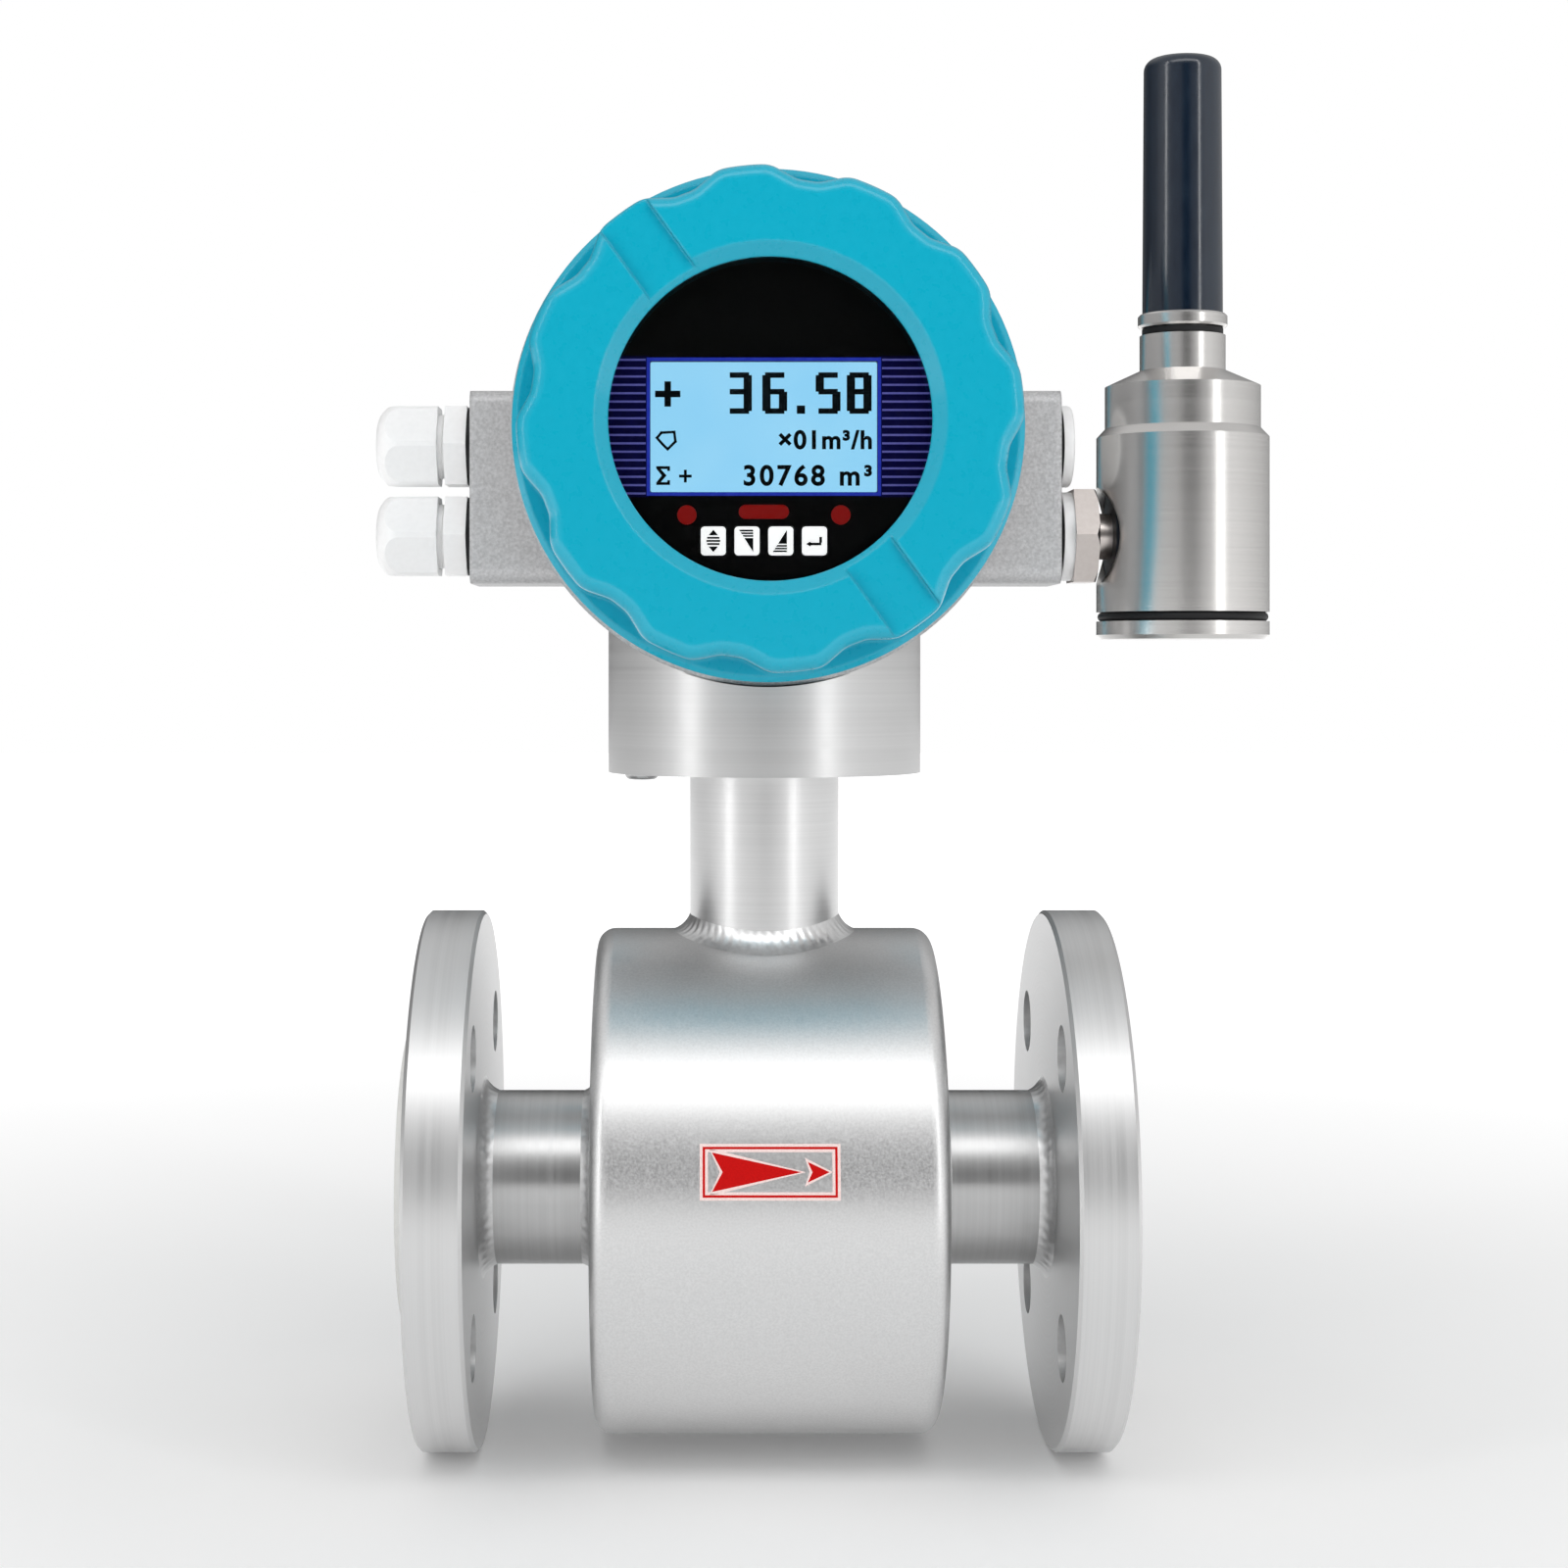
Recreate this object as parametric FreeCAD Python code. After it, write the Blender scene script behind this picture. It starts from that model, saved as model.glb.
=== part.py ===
"""Electromagnetic flow meter, DN40: a lined and flanged measuring tube with its magnet coils in a
welded drum, and a cast head that turns on the drum's neck and carries the display, the terminals,
two cable glands, a blanking plug and a radio module with its antenna.

Millimetres. +X is the flow direction, +Z is up, the display faces -Y. The origin is the middle of
the flow bore."""

import FreeCAD, Part
import os
from math import cos, pi, radians, sin, sqrt

V = FreeCAD.Vector
X, Y, Z = V(1, 0, 0), V(0, 1, 0), V(0, 0, 1)

# Fits
sleeve_gap = 0.05  # between pieces that are welded or bonded one inside the other
run_gap = 0.3  # between threads and other round faces that turn on each other
slip = 0.3  # around keys and between a turning face and the next one

# Flow tube and its flanges
face_to_face = 200.0
tube_od = 48.3
tube_wall = 3.0
liner_wall = 2.0
liner_flare_d = 84.0
liner_flare_t = 3.0
flange_od = 150.0
flange_rim_t = 16.0
flange_edge = 1.0
raised_face_d = 88.0
raised_face_t = 2.0
bolt_circle_d = 110.0
bolt_hole_d = 18.0
bolt_count = 4
tube_bead = 4.0

# Coil drum
drum_length = 94.0
drum_od = 140.0
drum_wall = 3.0
drum_edge_r = 5.0
drum_skirt = 1.0

# Magnet and electrodes
core_length = 24.0
core_width = 20.0
shoe_length = 40.0
shoe_t = 3.0
shoe_half_deg = 34.0
coil_gap = 0.5
coil_height = 10.0
coil_winding = 12.0
coil_clear = 1.0
yoke_r = 48.0
yoke_t = 3.0
yoke_width = 40.0
electrode_d = 5.0
electrode_head_d = 9.0
electrode_head_t = 1.2
electrode_length = 22.0
electrode_recess = 0.15
insulator_d = 12.0
insulator_t = 6.0
nut_flats = 8.0
nut_t = 3.5

# Neck and swivel
neck_od = 42.0
neck_wall = 4.0
neck_bead = 4.5
neck_top_z = 114.5
swivel_spigot_wall = 2.5
swivel_flange_d = 76.0
swivel_flange_t = 4.0
collar_wall = 4.0
collar_clearance = 2.0
collar_floor_t = 6.0
lock_screw_inset = 3.4
lock_screw_head_d = 9.5
lock_screw_head_t = 2.2
lock_screw_d = 5.0

# Head casting
head_z = 208.0
spigot_d = 118.0
barrel_step = 3.5
barrel_half = 41.0
rim_over_ring = 1.0
rim_t = 3.0
spigot_wall = 4.0
spigot_length = 14.0
wall_y = -15.0
wall_t = 4.0
cable_way_d = 20.0
boss_reach = 81.8
boss_depth = 36.0
boss_height = 53.5
boss_above = 12.7
boss_corner_r = 4.0
port_d = 20.0
port_drop = 1.7
port_spacing = 25.4

# Screwed covers
ring_over_seal = 5.0
cover_ring_w = 9.0
cover_ring_edge = 1.5
cover_depth = 31.0
lobe_inset = 2.5
lobe_count = 12
lobe_flat_deg = 12.0
first_lobe_deg = 6.0
dip_depth = 3.5
dip_flat_deg = 5.0
lobe_corner_r = 8.0
cover_edge_r = 3.5
cover_face_t = 4.0
channel_width = 14.5
channel_depth = 1.8
channel_deg = 126.0
window_d = 83.5
bevel_width = 3.6
bevel_depth = 3.0
cover_seal_section = 2.5
cover_seal_clearance = 1.5
groove_slack = 0.35

# Window
glass_d = 99.0
glass_t = 5.0
gasket_t = 0.8
gasket_width = 5.0
ring_t = 3.5
ring_width = 3.7

# Display
panel_d = 90.4
panel_t = 2.0
panel_behind_glass = 1.6
panel_post_d = 5.0
panel_post_circle_d = 83.0
panel_post_deg = 54.0
graphics_x = -1.5
lcd_drop = 1.5
lcd_view = (59.0, 34.0)
lcd_frame = (66.0, 41.0)
lcd_t = 4.5
lcd_lip = 0.8
board_t = 1.6
board_d = 90.0
standoff_circle_d = 80.0
standoff_d = 6.0
standoff_foot_d = 8.0
board_screw_head_d = 5.5
board_screw_head_t = 1.8
board_screw_d = 2.5
board_screw_length = 8.0
key_size = (6.5, 7.5)
key_corner_r = 1.0
key_pitch = 8.75
key_drop = 31.2
key_proud = 0.6
key_flange = 0.8
key_flange_t = 1.0
key_stem_d = 3.0
key_stem = 0.4
key_travel = 0.5
switch_size = 6.0
eye_d = 5.0
eye_spread = 40.0
eye_drop = 24.4
bar_size = (13.0, 3.6)
bar_drop = 23.6

# Electronics
main_board_d = 100.0
main_board_clearance = 3.8
transformer = (26.0, 14.0, 22.0)
capacitor_d = 10.0
capacitor_length = 14.0
pole_count = 8
pole_pitch = 8.5
terminal_depth = 18.0
terminal_height = 18.0
terminal_rise = 8.0
pole_screw_d = 5.0
pole_entry = 4.5
pole_screw_deep = 6.0

# Cable glands
seal_t = 1.7
seal_d = 22.0
gland_thread_d = 19.6
gland_thread_length = 11.0
gland_flats = 22.0
gland_hex_t = 6.2
gland_gap = 2.0
gland_nut_length = 17.3
gland_nut_hex_length = 11.0
gland_nut_corner_d = 24.6
gland_nut_tip_d = 13.0
gland_bore_d = 13.0
gland_spigot_d = 18.0
gland_spigot_length = 9.6
insert_d = 15.0
insert_bore_d = 10.0
insert_length = 6.0
gland_mouth_d = 10.6

# Blanking plug
plug_d = 23.0
plug_head_t = 3.0
plug_edge_r = 1.2
plug_bore_d = 12.0

# Radio module
adapter_d = 25.0
adapter_t = 3.0
adapter_spigot_d = 16.4
adapter_spigot_length = 2.3
adapter_bore_d = 10.0
lock_nut_flats = 26.0
lock_nut_t = 6.6
lock_nut_lip = 2.4
stub_d = 13.0
stub_bore_d = 8.0
stub_flange_t = 1.3
stub_inside = 3.0
washer_d = 27.0
washer_t = 1.2
stub_neck = 4.5
spot_to_axis = 19.5
module_d = 48.3
module_wall = 7.0
module_below = 21.4
module_shoulder = 49.3
module_step_d = 43.5
module_step = 2.6
module_top = 63.7
module_neck_d = 24.0
module_cone = 4.5
module_height = 78.1
module_bore_d = 16.6
cap_t = 5.0
cap_edge = 1.2
cap_gap = 2.6
cap_seal_d = 47.6
cap_spigot_length = 10.0
cap_spigot_wall = 3.0
card_y = 8.0
card_t = 1.6
card_low = 12.4
card_height = 34.0
card_part = (14.0, 3.0, 12.0)

# Antenna
aerial_seal_d = 22.7
aerial_seal_t = 1.6
aerial_seal_gap = 0.3
ferrule_d = 25.0
ferrule_t = 3.8
ferrule_edge = 0.6
aerial_thread_length = 9.0
aerial_d = 22.5
aerial_tip_d = 21.7
aerial_length = 72.4
aerial_edge_r = 3.5
aerial_tail_d = 8.0
aerial_tail_length = 3.0

# Places worked out from the sizes above
half_face = face_to_face / 2
raised_x = half_face - liner_flare_t
rim_x = raised_x - raised_face_t
flange_x = rim_x - flange_rim_t
tube_r = tube_od / 2
bore_r = tube_r - tube_wall - liner_wall
drum_r = drum_od / 2
drum_inner_r = drum_r - drum_wall
drum_x = drum_length / 2
neck_r = neck_od / 2
neck_inner_r = neck_r - neck_wall
spigot_r = neck_inner_r + swivel_spigot_wall
collar_inner_r = swivel_flange_d / 2 + collar_clearance
collar_r = collar_inner_r + collar_wall
lock_screw_place = swivel_flange_d / 2 - lock_screw_inset
collar_floor_z = neck_top_z + collar_floor_t
swivel_z = collar_floor_z + slip
barrel_r = spigot_d / 2 + barrel_step
cover_seal_r = spigot_d / 2 + cover_seal_clearance + cover_seal_section
cover_ring_r = cover_seal_r + ring_over_seal
lobe_r = cover_ring_r - lobe_inset
rim_r = cover_ring_r + rim_over_ring
room_r = spigot_d / 2 - spigot_wall
cover_back = barrel_half + slip
cover_front = cover_back + cover_depth
cover_bore_r = spigot_d / 2 + run_gap
cover_bore_end = barrel_half + spigot_length + 1.0
lip_back = cover_front - cover_face_t
pocket_r = glass_d / 2 + 0.5
glass_front = lip_back - gasket_t
glass_back = glass_front - glass_t
panel_front = glass_back - panel_behind_glass
panel_back = panel_front - panel_t
board_front = panel_back - lcd_t
board_back = board_front - board_t
main_board_y = max(transformer[1], capacitor_length) + main_board_clearance - board_back
lcd_z = head_z - lcd_drop
port_zs = (head_z - port_drop, head_z - port_drop - port_spacing)
module_z = port_zs[1]
module_r = module_d / 2
module_inner_r = module_r - module_wall
gland_hex_x = boss_reach + seal_t
gland_hex_end = gland_hex_x + gland_hex_t
gland_nut_x = gland_hex_end + gland_gap
gland_body_end = gland_nut_x + gland_spigot_length
adapter_x = boss_reach + seal_t + adapter_t
lock_nut_end = adapter_x + lock_nut_t
spot_x = lock_nut_end + stub_neck + washer_t
module_x = spot_x + spot_to_axis
module_low_z = module_z - module_below
module_shoulder_z = module_low_z + module_shoulder
module_top_z = module_low_z + module_top
module_neck_z = module_low_z + module_height
card_low_z = module_low_z + card_low
cap_top_z = module_low_z - cap_gap
ferrule_z = module_neck_z + aerial_seal_t + 2 * aerial_seal_gap
aerial_z = ferrule_z + ferrule_t


def turned(points, axis=X, centre=V(0, 0, 0)):
    """A body of revolution. A point is (along, radius); (along, radius, along, radius) is an arc
    through the first pair to the second."""
    side = X if axis.z else Z

    def place(along, radius):
        return centre + axis * along + side * radius

    here = place(*points[0][-2:])
    start = here
    edges = []
    for point in list(points[1:]) + [points[0][-2:]]:
        there = place(*point[-2:])
        if len(point) == 4:
            edges.append(Part.Arc(here, place(*point[:2]), there).toShape())
        elif here.distanceToPoint(there) > 1e-6:
            edges.append(Part.makeLine(here, there))
        here = there
    assert here.distanceToPoint(start) < 1e-6
    solid = Part.Face(Part.Wire(edges)).revolve(centre, axis, 360)
    return outward(solid)


def outward(solid):
    if solid.Volume < 0:
        solid.reverse()
    return solid


def rod(radius, start, end, axis=X, centre=V(0, 0, 0)):
    low, high = min(start, end), max(start, end)
    return Part.makeCylinder(radius, high - low, centre + axis * low, axis)


def pipe(outer_r, inner_r, start, end, axis=X, centre=V(0, 0, 0)):
    return rod(outer_r, start, end, axis, centre).cut(rod(inner_r, start - 1, end + 1, axis, centre))


def torus(ring_d, section, along, axis, centre):
    return Part.makeTorus((ring_d - section) / 2, section / 2, centre + axis * along, axis)


def block(x, y, z):
    """A box between three pairs of limits."""
    return Part.makeBox(x[1] - x[0], y[1] - y[0], z[1] - z[0], V(x[0], y[0], z[0]))


def hexagon(flats, start, end, axis=X, centre=V(0, 0, 0)):
    """A hexagonal bar with a corner towards -Y, or towards +X where the axis isn't along X."""
    side = Y if axis.x else X
    across = axis.cross(side)
    corner_r = flats / sqrt(3)
    corners = []
    for k in range(7):
        angle = pi / 3 * k
        corners.append(centre + axis * start + (side * cos(angle) + across * sin(angle)) * corner_r)
    return outward(Part.Face(Part.makePolygon(corners)).extrude(axis * (end - start)))


def rounded_block(size, middle, start, end, corner_r):
    """A bar along Y with rounded corners, for size (width, height) about middle (x, z)."""
    bar = block(
        (middle[0] - size[0] / 2, middle[0] + size[0] / 2),
        (start, end),
        (middle[1] - size[1] / 2, middle[1] + size[1] / 2),
    )
    long_edges = [edge for edge in bar.Edges if abs(edge.tangentAt(edge.FirstParameter).y) > 0.9]
    return bar.makeFillet(corner_r, long_edges)


def on_circle(circle_d, degrees, middle_z=0.0):
    """The (x, z) of a point on a circle that faces along Y."""
    return (circle_d / 2 * cos(radians(degrees)), middle_z + circle_d / 2 * sin(radians(degrees)))


def mirrored(shape):
    return shape.mirror(V(0, 0, 0), X)


# Flow tube, liner, flanges and their welds


def measuring_tube():
    tube = pipe(tube_r, tube_r - tube_wall, -raised_x, raised_x)
    electrode_hole = rod(electrode_d / 2 + slip, -tube_od, tube_od, Y)
    return tube.cut(electrode_hole)


def tube_liner():
    outer_r = tube_r - tube_wall - sleeve_gap
    flare_r = liner_flare_d / 2
    liner = turned(
        [
            (-half_face, bore_r),
            (-half_face, flare_r),
            (-raised_x, flare_r),
            (-raised_x, outer_r),
            (raised_x, outer_r),
            (raised_x, flare_r),
            (half_face, flare_r),
            (half_face, bore_r),
        ]
    )
    head_seat = rod(electrode_head_d / 2 + sleeve_gap, 0, bore_r + electrode_recess + electrode_head_t, Y)
    hole = rod(electrode_d / 2 + sleeve_gap, -tube_od, tube_od, Y)
    return liner.cut([head_seat, head_seat.mirror(V(0, 0, 0), Y), hole])


def flange():
    """The outlet flange: slipped over the tube, with a raised face and straddled bolt holes."""
    flange_r = flange_od / 2
    ring = turned(
        [
            (flange_x, tube_r + sleeve_gap),
            (flange_x, flange_r - flange_edge),
            (flange_x + flange_edge, flange_r),
            (rim_x - flange_edge, flange_r),
            (rim_x, flange_r - flange_edge),
            (rim_x, raised_face_d / 2),
            (raised_x, raised_face_d / 2),
            (raised_x, tube_r + sleeve_gap),
        ]
    )
    holes = []
    for k in range(bolt_count):
        angle = 2 * pi * (k + 0.5) / bolt_count
        middle = V(0, cos(angle), sin(angle)) * (bolt_circle_d / 2)
        holes.append(rod(bolt_hole_d / 2, flange_x - 1, rim_x + 1, X, middle))
    return ring.cut(holes)


def tube_weld(face_x, towards):
    """A fillet bead round the tube against the face at face_x."""
    root = tube_r + sleeve_gap
    bulge = tube_bead * 0.6
    return turned(
        [
            (face_x, root),
            (face_x, root + tube_bead),
            (face_x + towards * bulge, root + bulge, face_x + towards * tube_bead, root),
        ]
    )


def tube_weld_beads():
    beads = [tube_weld(flange_x, -1), tube_weld(drum_x, 1)]
    return Part.makeCompound(beads + [mirrored(bead) for bead in beads])


# Coil drum


def coil_drum_shell():
    skirt_x = drum_x - drum_edge_r - drum_skirt
    shell = pipe(drum_r, drum_inner_r, -skirt_x, skirt_x)
    return shell.cut(rod(neck_r + sleeve_gap, 0, drum_od, Z))


def drum_end_plate():
    """The outlet end: a pressed plate whose rolled edge meets the drum's wall."""
    skirt_x = drum_x - drum_edge_r - drum_skirt
    inner_x = drum_x - drum_wall
    inner_edge = drum_edge_r - drum_wall
    corner = sin(pi / 4)
    return turned(
        [
            (skirt_x, drum_inner_r),
            (skirt_x, drum_r),
            (drum_x - drum_edge_r, drum_r),
            (
                drum_x - drum_edge_r * (1 - corner),
                drum_r - drum_edge_r * (1 - corner),
                drum_x,
                drum_r - drum_edge_r,
            ),
            (drum_x, tube_r + sleeve_gap),
            (inner_x, tube_r + sleeve_gap),
            (inner_x, drum_inner_r - inner_edge),
            (
                inner_x - inner_edge * (1 - corner),
                drum_inner_r - inner_edge * (1 - corner),
                inner_x - inner_edge,
                drum_inner_r,
            ),
        ]
    )


# Neck, which is saddle-cut onto the drum and turned to a spigot at its top


def neck_tube():
    top_z = swivel_z + swivel_flange_t
    outer = rod(neck_r, 0, neck_top_z, Z).fuse(rod(spigot_r, neck_top_z, top_z, Z))
    tube = outer.cut(rod(neck_inner_r, -1, top_z + 1, Z))
    return tube.cut(rod(drum_inner_r, -drum_length, drum_length)).removeSplitter()


def neck_weld_bead():
    """What a concave fillet adds where the neck stands on the drum."""
    plain = rod(drum_r, -drum_x, drum_x).fuse(rod(neck_r, 0, neck_top_z, Z))
    seam = []
    for edge in plain.Edges:
        box = edge.BoundBox
        if box.XLength < neck_od + 1 and box.ZMin > drum_inner_r - 5 and box.ZMax < neck_top_z - 1:
            if box.YLength > 1 and box.XLength > 1:
                seam.append(edge)
    bead = plain.makeFillet(neck_bead, seam).cut(plain)
    return max(bead.Solids, key=lambda solid: solid.Volume)


def swivel_flange():
    return pipe(swivel_flange_d / 2, spigot_r + sleeve_gap, swivel_z, swivel_z + swivel_flange_t, Z)


# Magnet system and electrodes inside the drum


def magnet_poles():
    """Two laminated cores with curved shoes on the tube, above and below the bore."""
    inner = tube_r + sleeve_gap
    shoe = pipe(inner + shoe_t, inner, -shoe_length / 2, shoe_length / 2)
    half_width = (inner + shoe_t) * sin(radians(shoe_half_deg))
    shoe = shoe.common(block((-shoe_length, shoe_length), (-half_width, half_width), (0, drum_r)))
    core = block(
        (-core_length / 2, core_length / 2), (-core_width / 2, core_width / 2), (inner + 1, yoke_r)
    )
    core = core.common(rod(yoke_r - sleeve_gap, -core_length, core_length))
    upper = shoe.fuse(core).removeSplitter()
    return Part.makeCompound([upper, upper.mirror(V(0, 0, 0), Z)])


def saddle_coils():
    """Two windings that are bent round the tube, each about its core."""
    inner_r = tube_r + sleeve_gap + shoe_t + coil_gap
    arch = pipe(inner_r + coil_height, inner_r, -drum_x, drum_x)
    hole_x = core_length / 2 + coil_clear
    hole_y = core_width / 2 + coil_clear
    solid = block(
        (-hole_x - coil_winding, hole_x + coil_winding),
        (-hole_y - coil_winding, hole_y + coil_winding),
        (0, drum_r),
    )
    corners = [edge for edge in solid.Edges if abs(edge.tangentAt(edge.FirstParameter).z) > 0.9]
    solid = solid.makeFillet(coil_winding, corners)
    upper = arch.common(solid).cut(block((-hole_x, hole_x), (-hole_y, hole_y), (0, drum_r)))
    return Part.makeCompound([upper, upper.mirror(V(0, 0, 0), Z)])


def return_yoke():
    return pipe(yoke_r + yoke_t, yoke_r, -yoke_width / 2, yoke_width / 2)


def front_and_rear(shape):
    return Part.makeCompound([shape, shape.mirror(V(0, 0, 0), Y)])


def electrodes():
    head = bore_r + electrode_recess
    stem_end = head + electrode_length
    screw = rod(electrode_head_d / 2, head, head + electrode_head_t, Y)
    return front_and_rear(screw.fuse(rod(electrode_d / 2, head, stem_end, Y)).removeSplitter())


def electrode_insulators():
    """Collars on flats of the tube, with a sleeve that lines the hole in the tube's wall."""
    sleeve_r = electrode_d / 2 + sleeve_gap
    collar = pipe(insulator_d / 2, sleeve_r, 0, tube_r + insulator_t, Y)
    return front_and_rear(collar.cut(rod(tube_r + sleeve_gap, -tube_od, tube_od)))


def electrode_nuts():
    start = tube_r + insulator_t
    nut = hexagon(nut_flats, start, start + nut_t, Y)
    return front_and_rear(nut.cut(rod(electrode_d / 2 + sleeve_gap, start - 1, start + nut_t + 1, Y)))


# Collar that turns on the neck


def head_axis():
    return V(0, 0, head_z)


def collar():
    """A turned cup whose rim is cut to sit under the barrel and clear of the covers."""
    cup = rod(collar_r, neck_top_z, head_z, Z)
    cup = cup.cut(rod(collar_inner_r, collar_floor_z, head_z + 1, Z))
    cup = cup.cut(rod(spigot_r + run_gap, neck_top_z - 1, head_z, Z))
    cup = cup.cut(rod(barrel_r + sleeve_gap, -barrel_half, barrel_half, Y, head_axis()))
    for side in (-1, 1):
        start = side * (barrel_half - rim_t - sleeve_gap)
        cup = cup.cut(rod(rim_r + slip, start, side * 2 * collar_r, Y, head_axis()))
    cup = cup.cut(rod(lock_screw_d / 2 + sleeve_gap, 0, head_z, Z, V(-lock_screw_place, 0, 0)))
    low = block((-collar_r, collar_r), (-collar_r, collar_r), (0, head_z - room_r / 2))
    return max(cup.common(low).Solids, key=lambda solid: solid.Volume)


def lock_screw():
    place = V(-lock_screw_place, 0, 0)
    head_r = lock_screw_head_d / 2
    low_z = neck_top_z - lock_screw_head_t
    head = turned(
        [
            (neck_top_z, 0),
            (neck_top_z, head_r),
            (low_z + lock_screw_head_t * 0.35, head_r * 0.95, low_z, head_r * 0.6),
            (low_z, 0),
        ],
        Z,
        place,
    )
    return head.fuse(rod(lock_screw_d / 2, neck_top_z, swivel_z, Z, place)).removeSplitter()


# Head casting


def side_boss():
    top_z = head_z + boss_above
    boss = block((0, boss_reach), (-boss_depth / 2, boss_depth / 2), (top_z - boss_height, top_z))
    long_edges = [edge for edge in boss.Edges if abs(edge.tangentAt(edge.FirstParameter).x) > 0.9]
    return boss.makeFillet(boss_corner_r, long_edges)


def housing():
    """The casting: a barrel with a rim and a threaded spigot at both ends, a wall between its two
    rooms, and a boss with two ports on each side."""
    rim = rod(rim_r, barrel_half - rim_t, barrel_half, Y, head_axis())
    spigot = rod(spigot_d / 2, barrel_half - rim_t, barrel_half + spigot_length, Y, head_axis())
    body = rod(barrel_r, -barrel_half, barrel_half, Y, head_axis())
    body = body.fuse([rim, spigot, rim.mirror(V(0, 0, 0), Y), spigot.mirror(V(0, 0, 0), Y)])
    body = body.fuse([side_boss(), mirrored(side_boss())])
    end = barrel_half + spigot_length + 1
    front_room = rod(room_r, -end, wall_y, Y, head_axis())
    rear_room = rod(room_r, wall_y + wall_t, end, Y, head_axis())
    body = body.cut([front_room, rear_room])
    ports = [rod(port_d / 2 + run_gap / 2, -boss_reach - 1, boss_reach + 1, X, V(0, 0, z)) for z in port_zs]
    wall = rod(room_r + 1, wall_y, wall_y + wall_t, Y, head_axis())
    body = body.cut(ports).fuse(wall)
    way = rod(cable_way_d / 2, head_z - 2 * barrel_r, head_z - room_r / 2, Z)
    return body.cut(way).removeSplitter()


# Screwed covers, made here as the front one


def polar(radius, degrees):
    return V(radius * cos(radians(degrees)), 0, radius * sin(radians(degrees)))


def lobed_bar():
    """The grip: lobes and dips round the edge, rounded where they meet and at the front."""
    dip_r = lobe_r - dip_depth
    pitch = 360.0 / lobe_count
    flat = lobe_flat_deg / 2
    dip = dip_flat_deg / 2
    edges = []
    for k in range(lobe_count):
        middle = first_lobe_deg + k * pitch
        low = middle + pitch / 2
        crest = [polar(lobe_r, middle + turn) for turn in (-flat, 0, flat)]
        floor = [polar(dip_r, low + turn) for turn in (-dip, 0, dip)]
        edges.append(Part.Arc(*crest).toShape())
        edges.append(Part.makeLine(crest[2], floor[0]))
        edges.append(Part.Arc(*floor).toShape())
        edges.append(Part.makeLine(floor[2], polar(lobe_r, middle + pitch - flat)))
    face = Part.Face(Part.Wire(edges))
    face.translate(V(0, -cover_front, 0))
    bar = outward(face.extrude(V(0, cover_depth - cover_ring_w / 2, 0)))
    upright = [edge for edge in bar.Edges if edge.BoundBox.YLength > 1]
    bar = bar.makeFillet(lobe_corner_r, upright)
    front = [edge for edge in bar.Edges if edge.BoundBox.YMax < -cover_front + 0.01]
    bar = bar.makeFillet(cover_edge_r, front)
    bar.translate(head_axis())
    return bar


def cover_blank():
    """The whole outside of a cover, still solid, with the spanner channel across its face."""
    ring = turned(
        [
            (-cover_back, 0),
            (-cover_back, cover_ring_r - cover_ring_edge / 2),
            (-cover_back - cover_ring_edge / 2, cover_ring_r),
            (-cover_back - cover_ring_w + cover_ring_edge, cover_ring_r),
            (-cover_back - cover_ring_w, cover_ring_r - cover_ring_edge),
            (-cover_back - cover_ring_w, 0),
        ],
        Y,
        head_axis(),
    )
    channel = block(
        (-2 * cover_ring_r, 2 * cover_ring_r),
        (-cover_front - 1, -cover_front + channel_depth),
        (-channel_width / 2, channel_width / 2),
    )
    channel.rotate(V(0, 0, 0), Y, -channel_deg)
    channel.translate(head_axis())
    blank = lobed_bar().fuse(ring).cut(channel)
    groove_out = cover_seal_r + groove_slack
    groove_in = cover_seal_r - cover_seal_section - groove_slack
    groove_end = -cover_back - cover_seal_section
    groove = pipe(groove_out, groove_in, groove_end, -cover_back + 1, Y, head_axis())
    bore = rod(cover_bore_r, -cover_bore_end, -cover_back + 1, Y, head_axis())
    return blank.cut([groove, bore])


def front_cover():
    window_r = window_d / 2
    opening = turned(
        [
            (-cover_front - 1, 0),
            (-cover_front - 1, window_r + bevel_width),
            (-cover_front, window_r + bevel_width),
            (-cover_front + bevel_depth, window_r),
            (-lip_back, window_r),
            (-lip_back, pocket_r),
            (-cover_bore_end + 1, pocket_r),
            (-cover_bore_end + 1, 0),
        ],
        Y,
        head_axis(),
    )
    return cover_blank().cut(opening).removeSplitter()


def rear_cover():
    hollow = rod(pocket_r, -lip_back, -cover_bore_end + 1, Y, head_axis())
    cover = cover_blank().cut(hollow).removeSplitter()
    cover.rotate(V(0, 0, 0), Z, 180)
    return cover


def cover_seal(side):
    along = side * (barrel_half + cover_seal_section / 2)
    return torus(2 * cover_seal_r, cover_seal_section, along, Y, head_axis())


# Window


def window_gasket():
    outer = glass_d / 2
    return pipe(outer, outer - gasket_width, -lip_back, -glass_front, Y, head_axis())


def window_glass():
    return rod(glass_d / 2, -glass_front, -glass_back, Y, head_axis())


def glass_ring():
    """The threaded ring that holds the glass, with two notches for its spanner."""
    outer = pocket_r - sleeve_gap
    start = -glass_back
    ring = pipe(outer, outer - ring_width, start, start + ring_t, Y, head_axis())
    notch = block((-outer, outer), (start + ring_t / 2, start + ring_t + 1), (-ring_width, ring_width))
    notch.translate(head_axis())
    return ring.cut(notch)


# Display


def key_xs():
    return [graphics_x + key_pitch * (k - 1.5) for k in range(4)]


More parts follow.
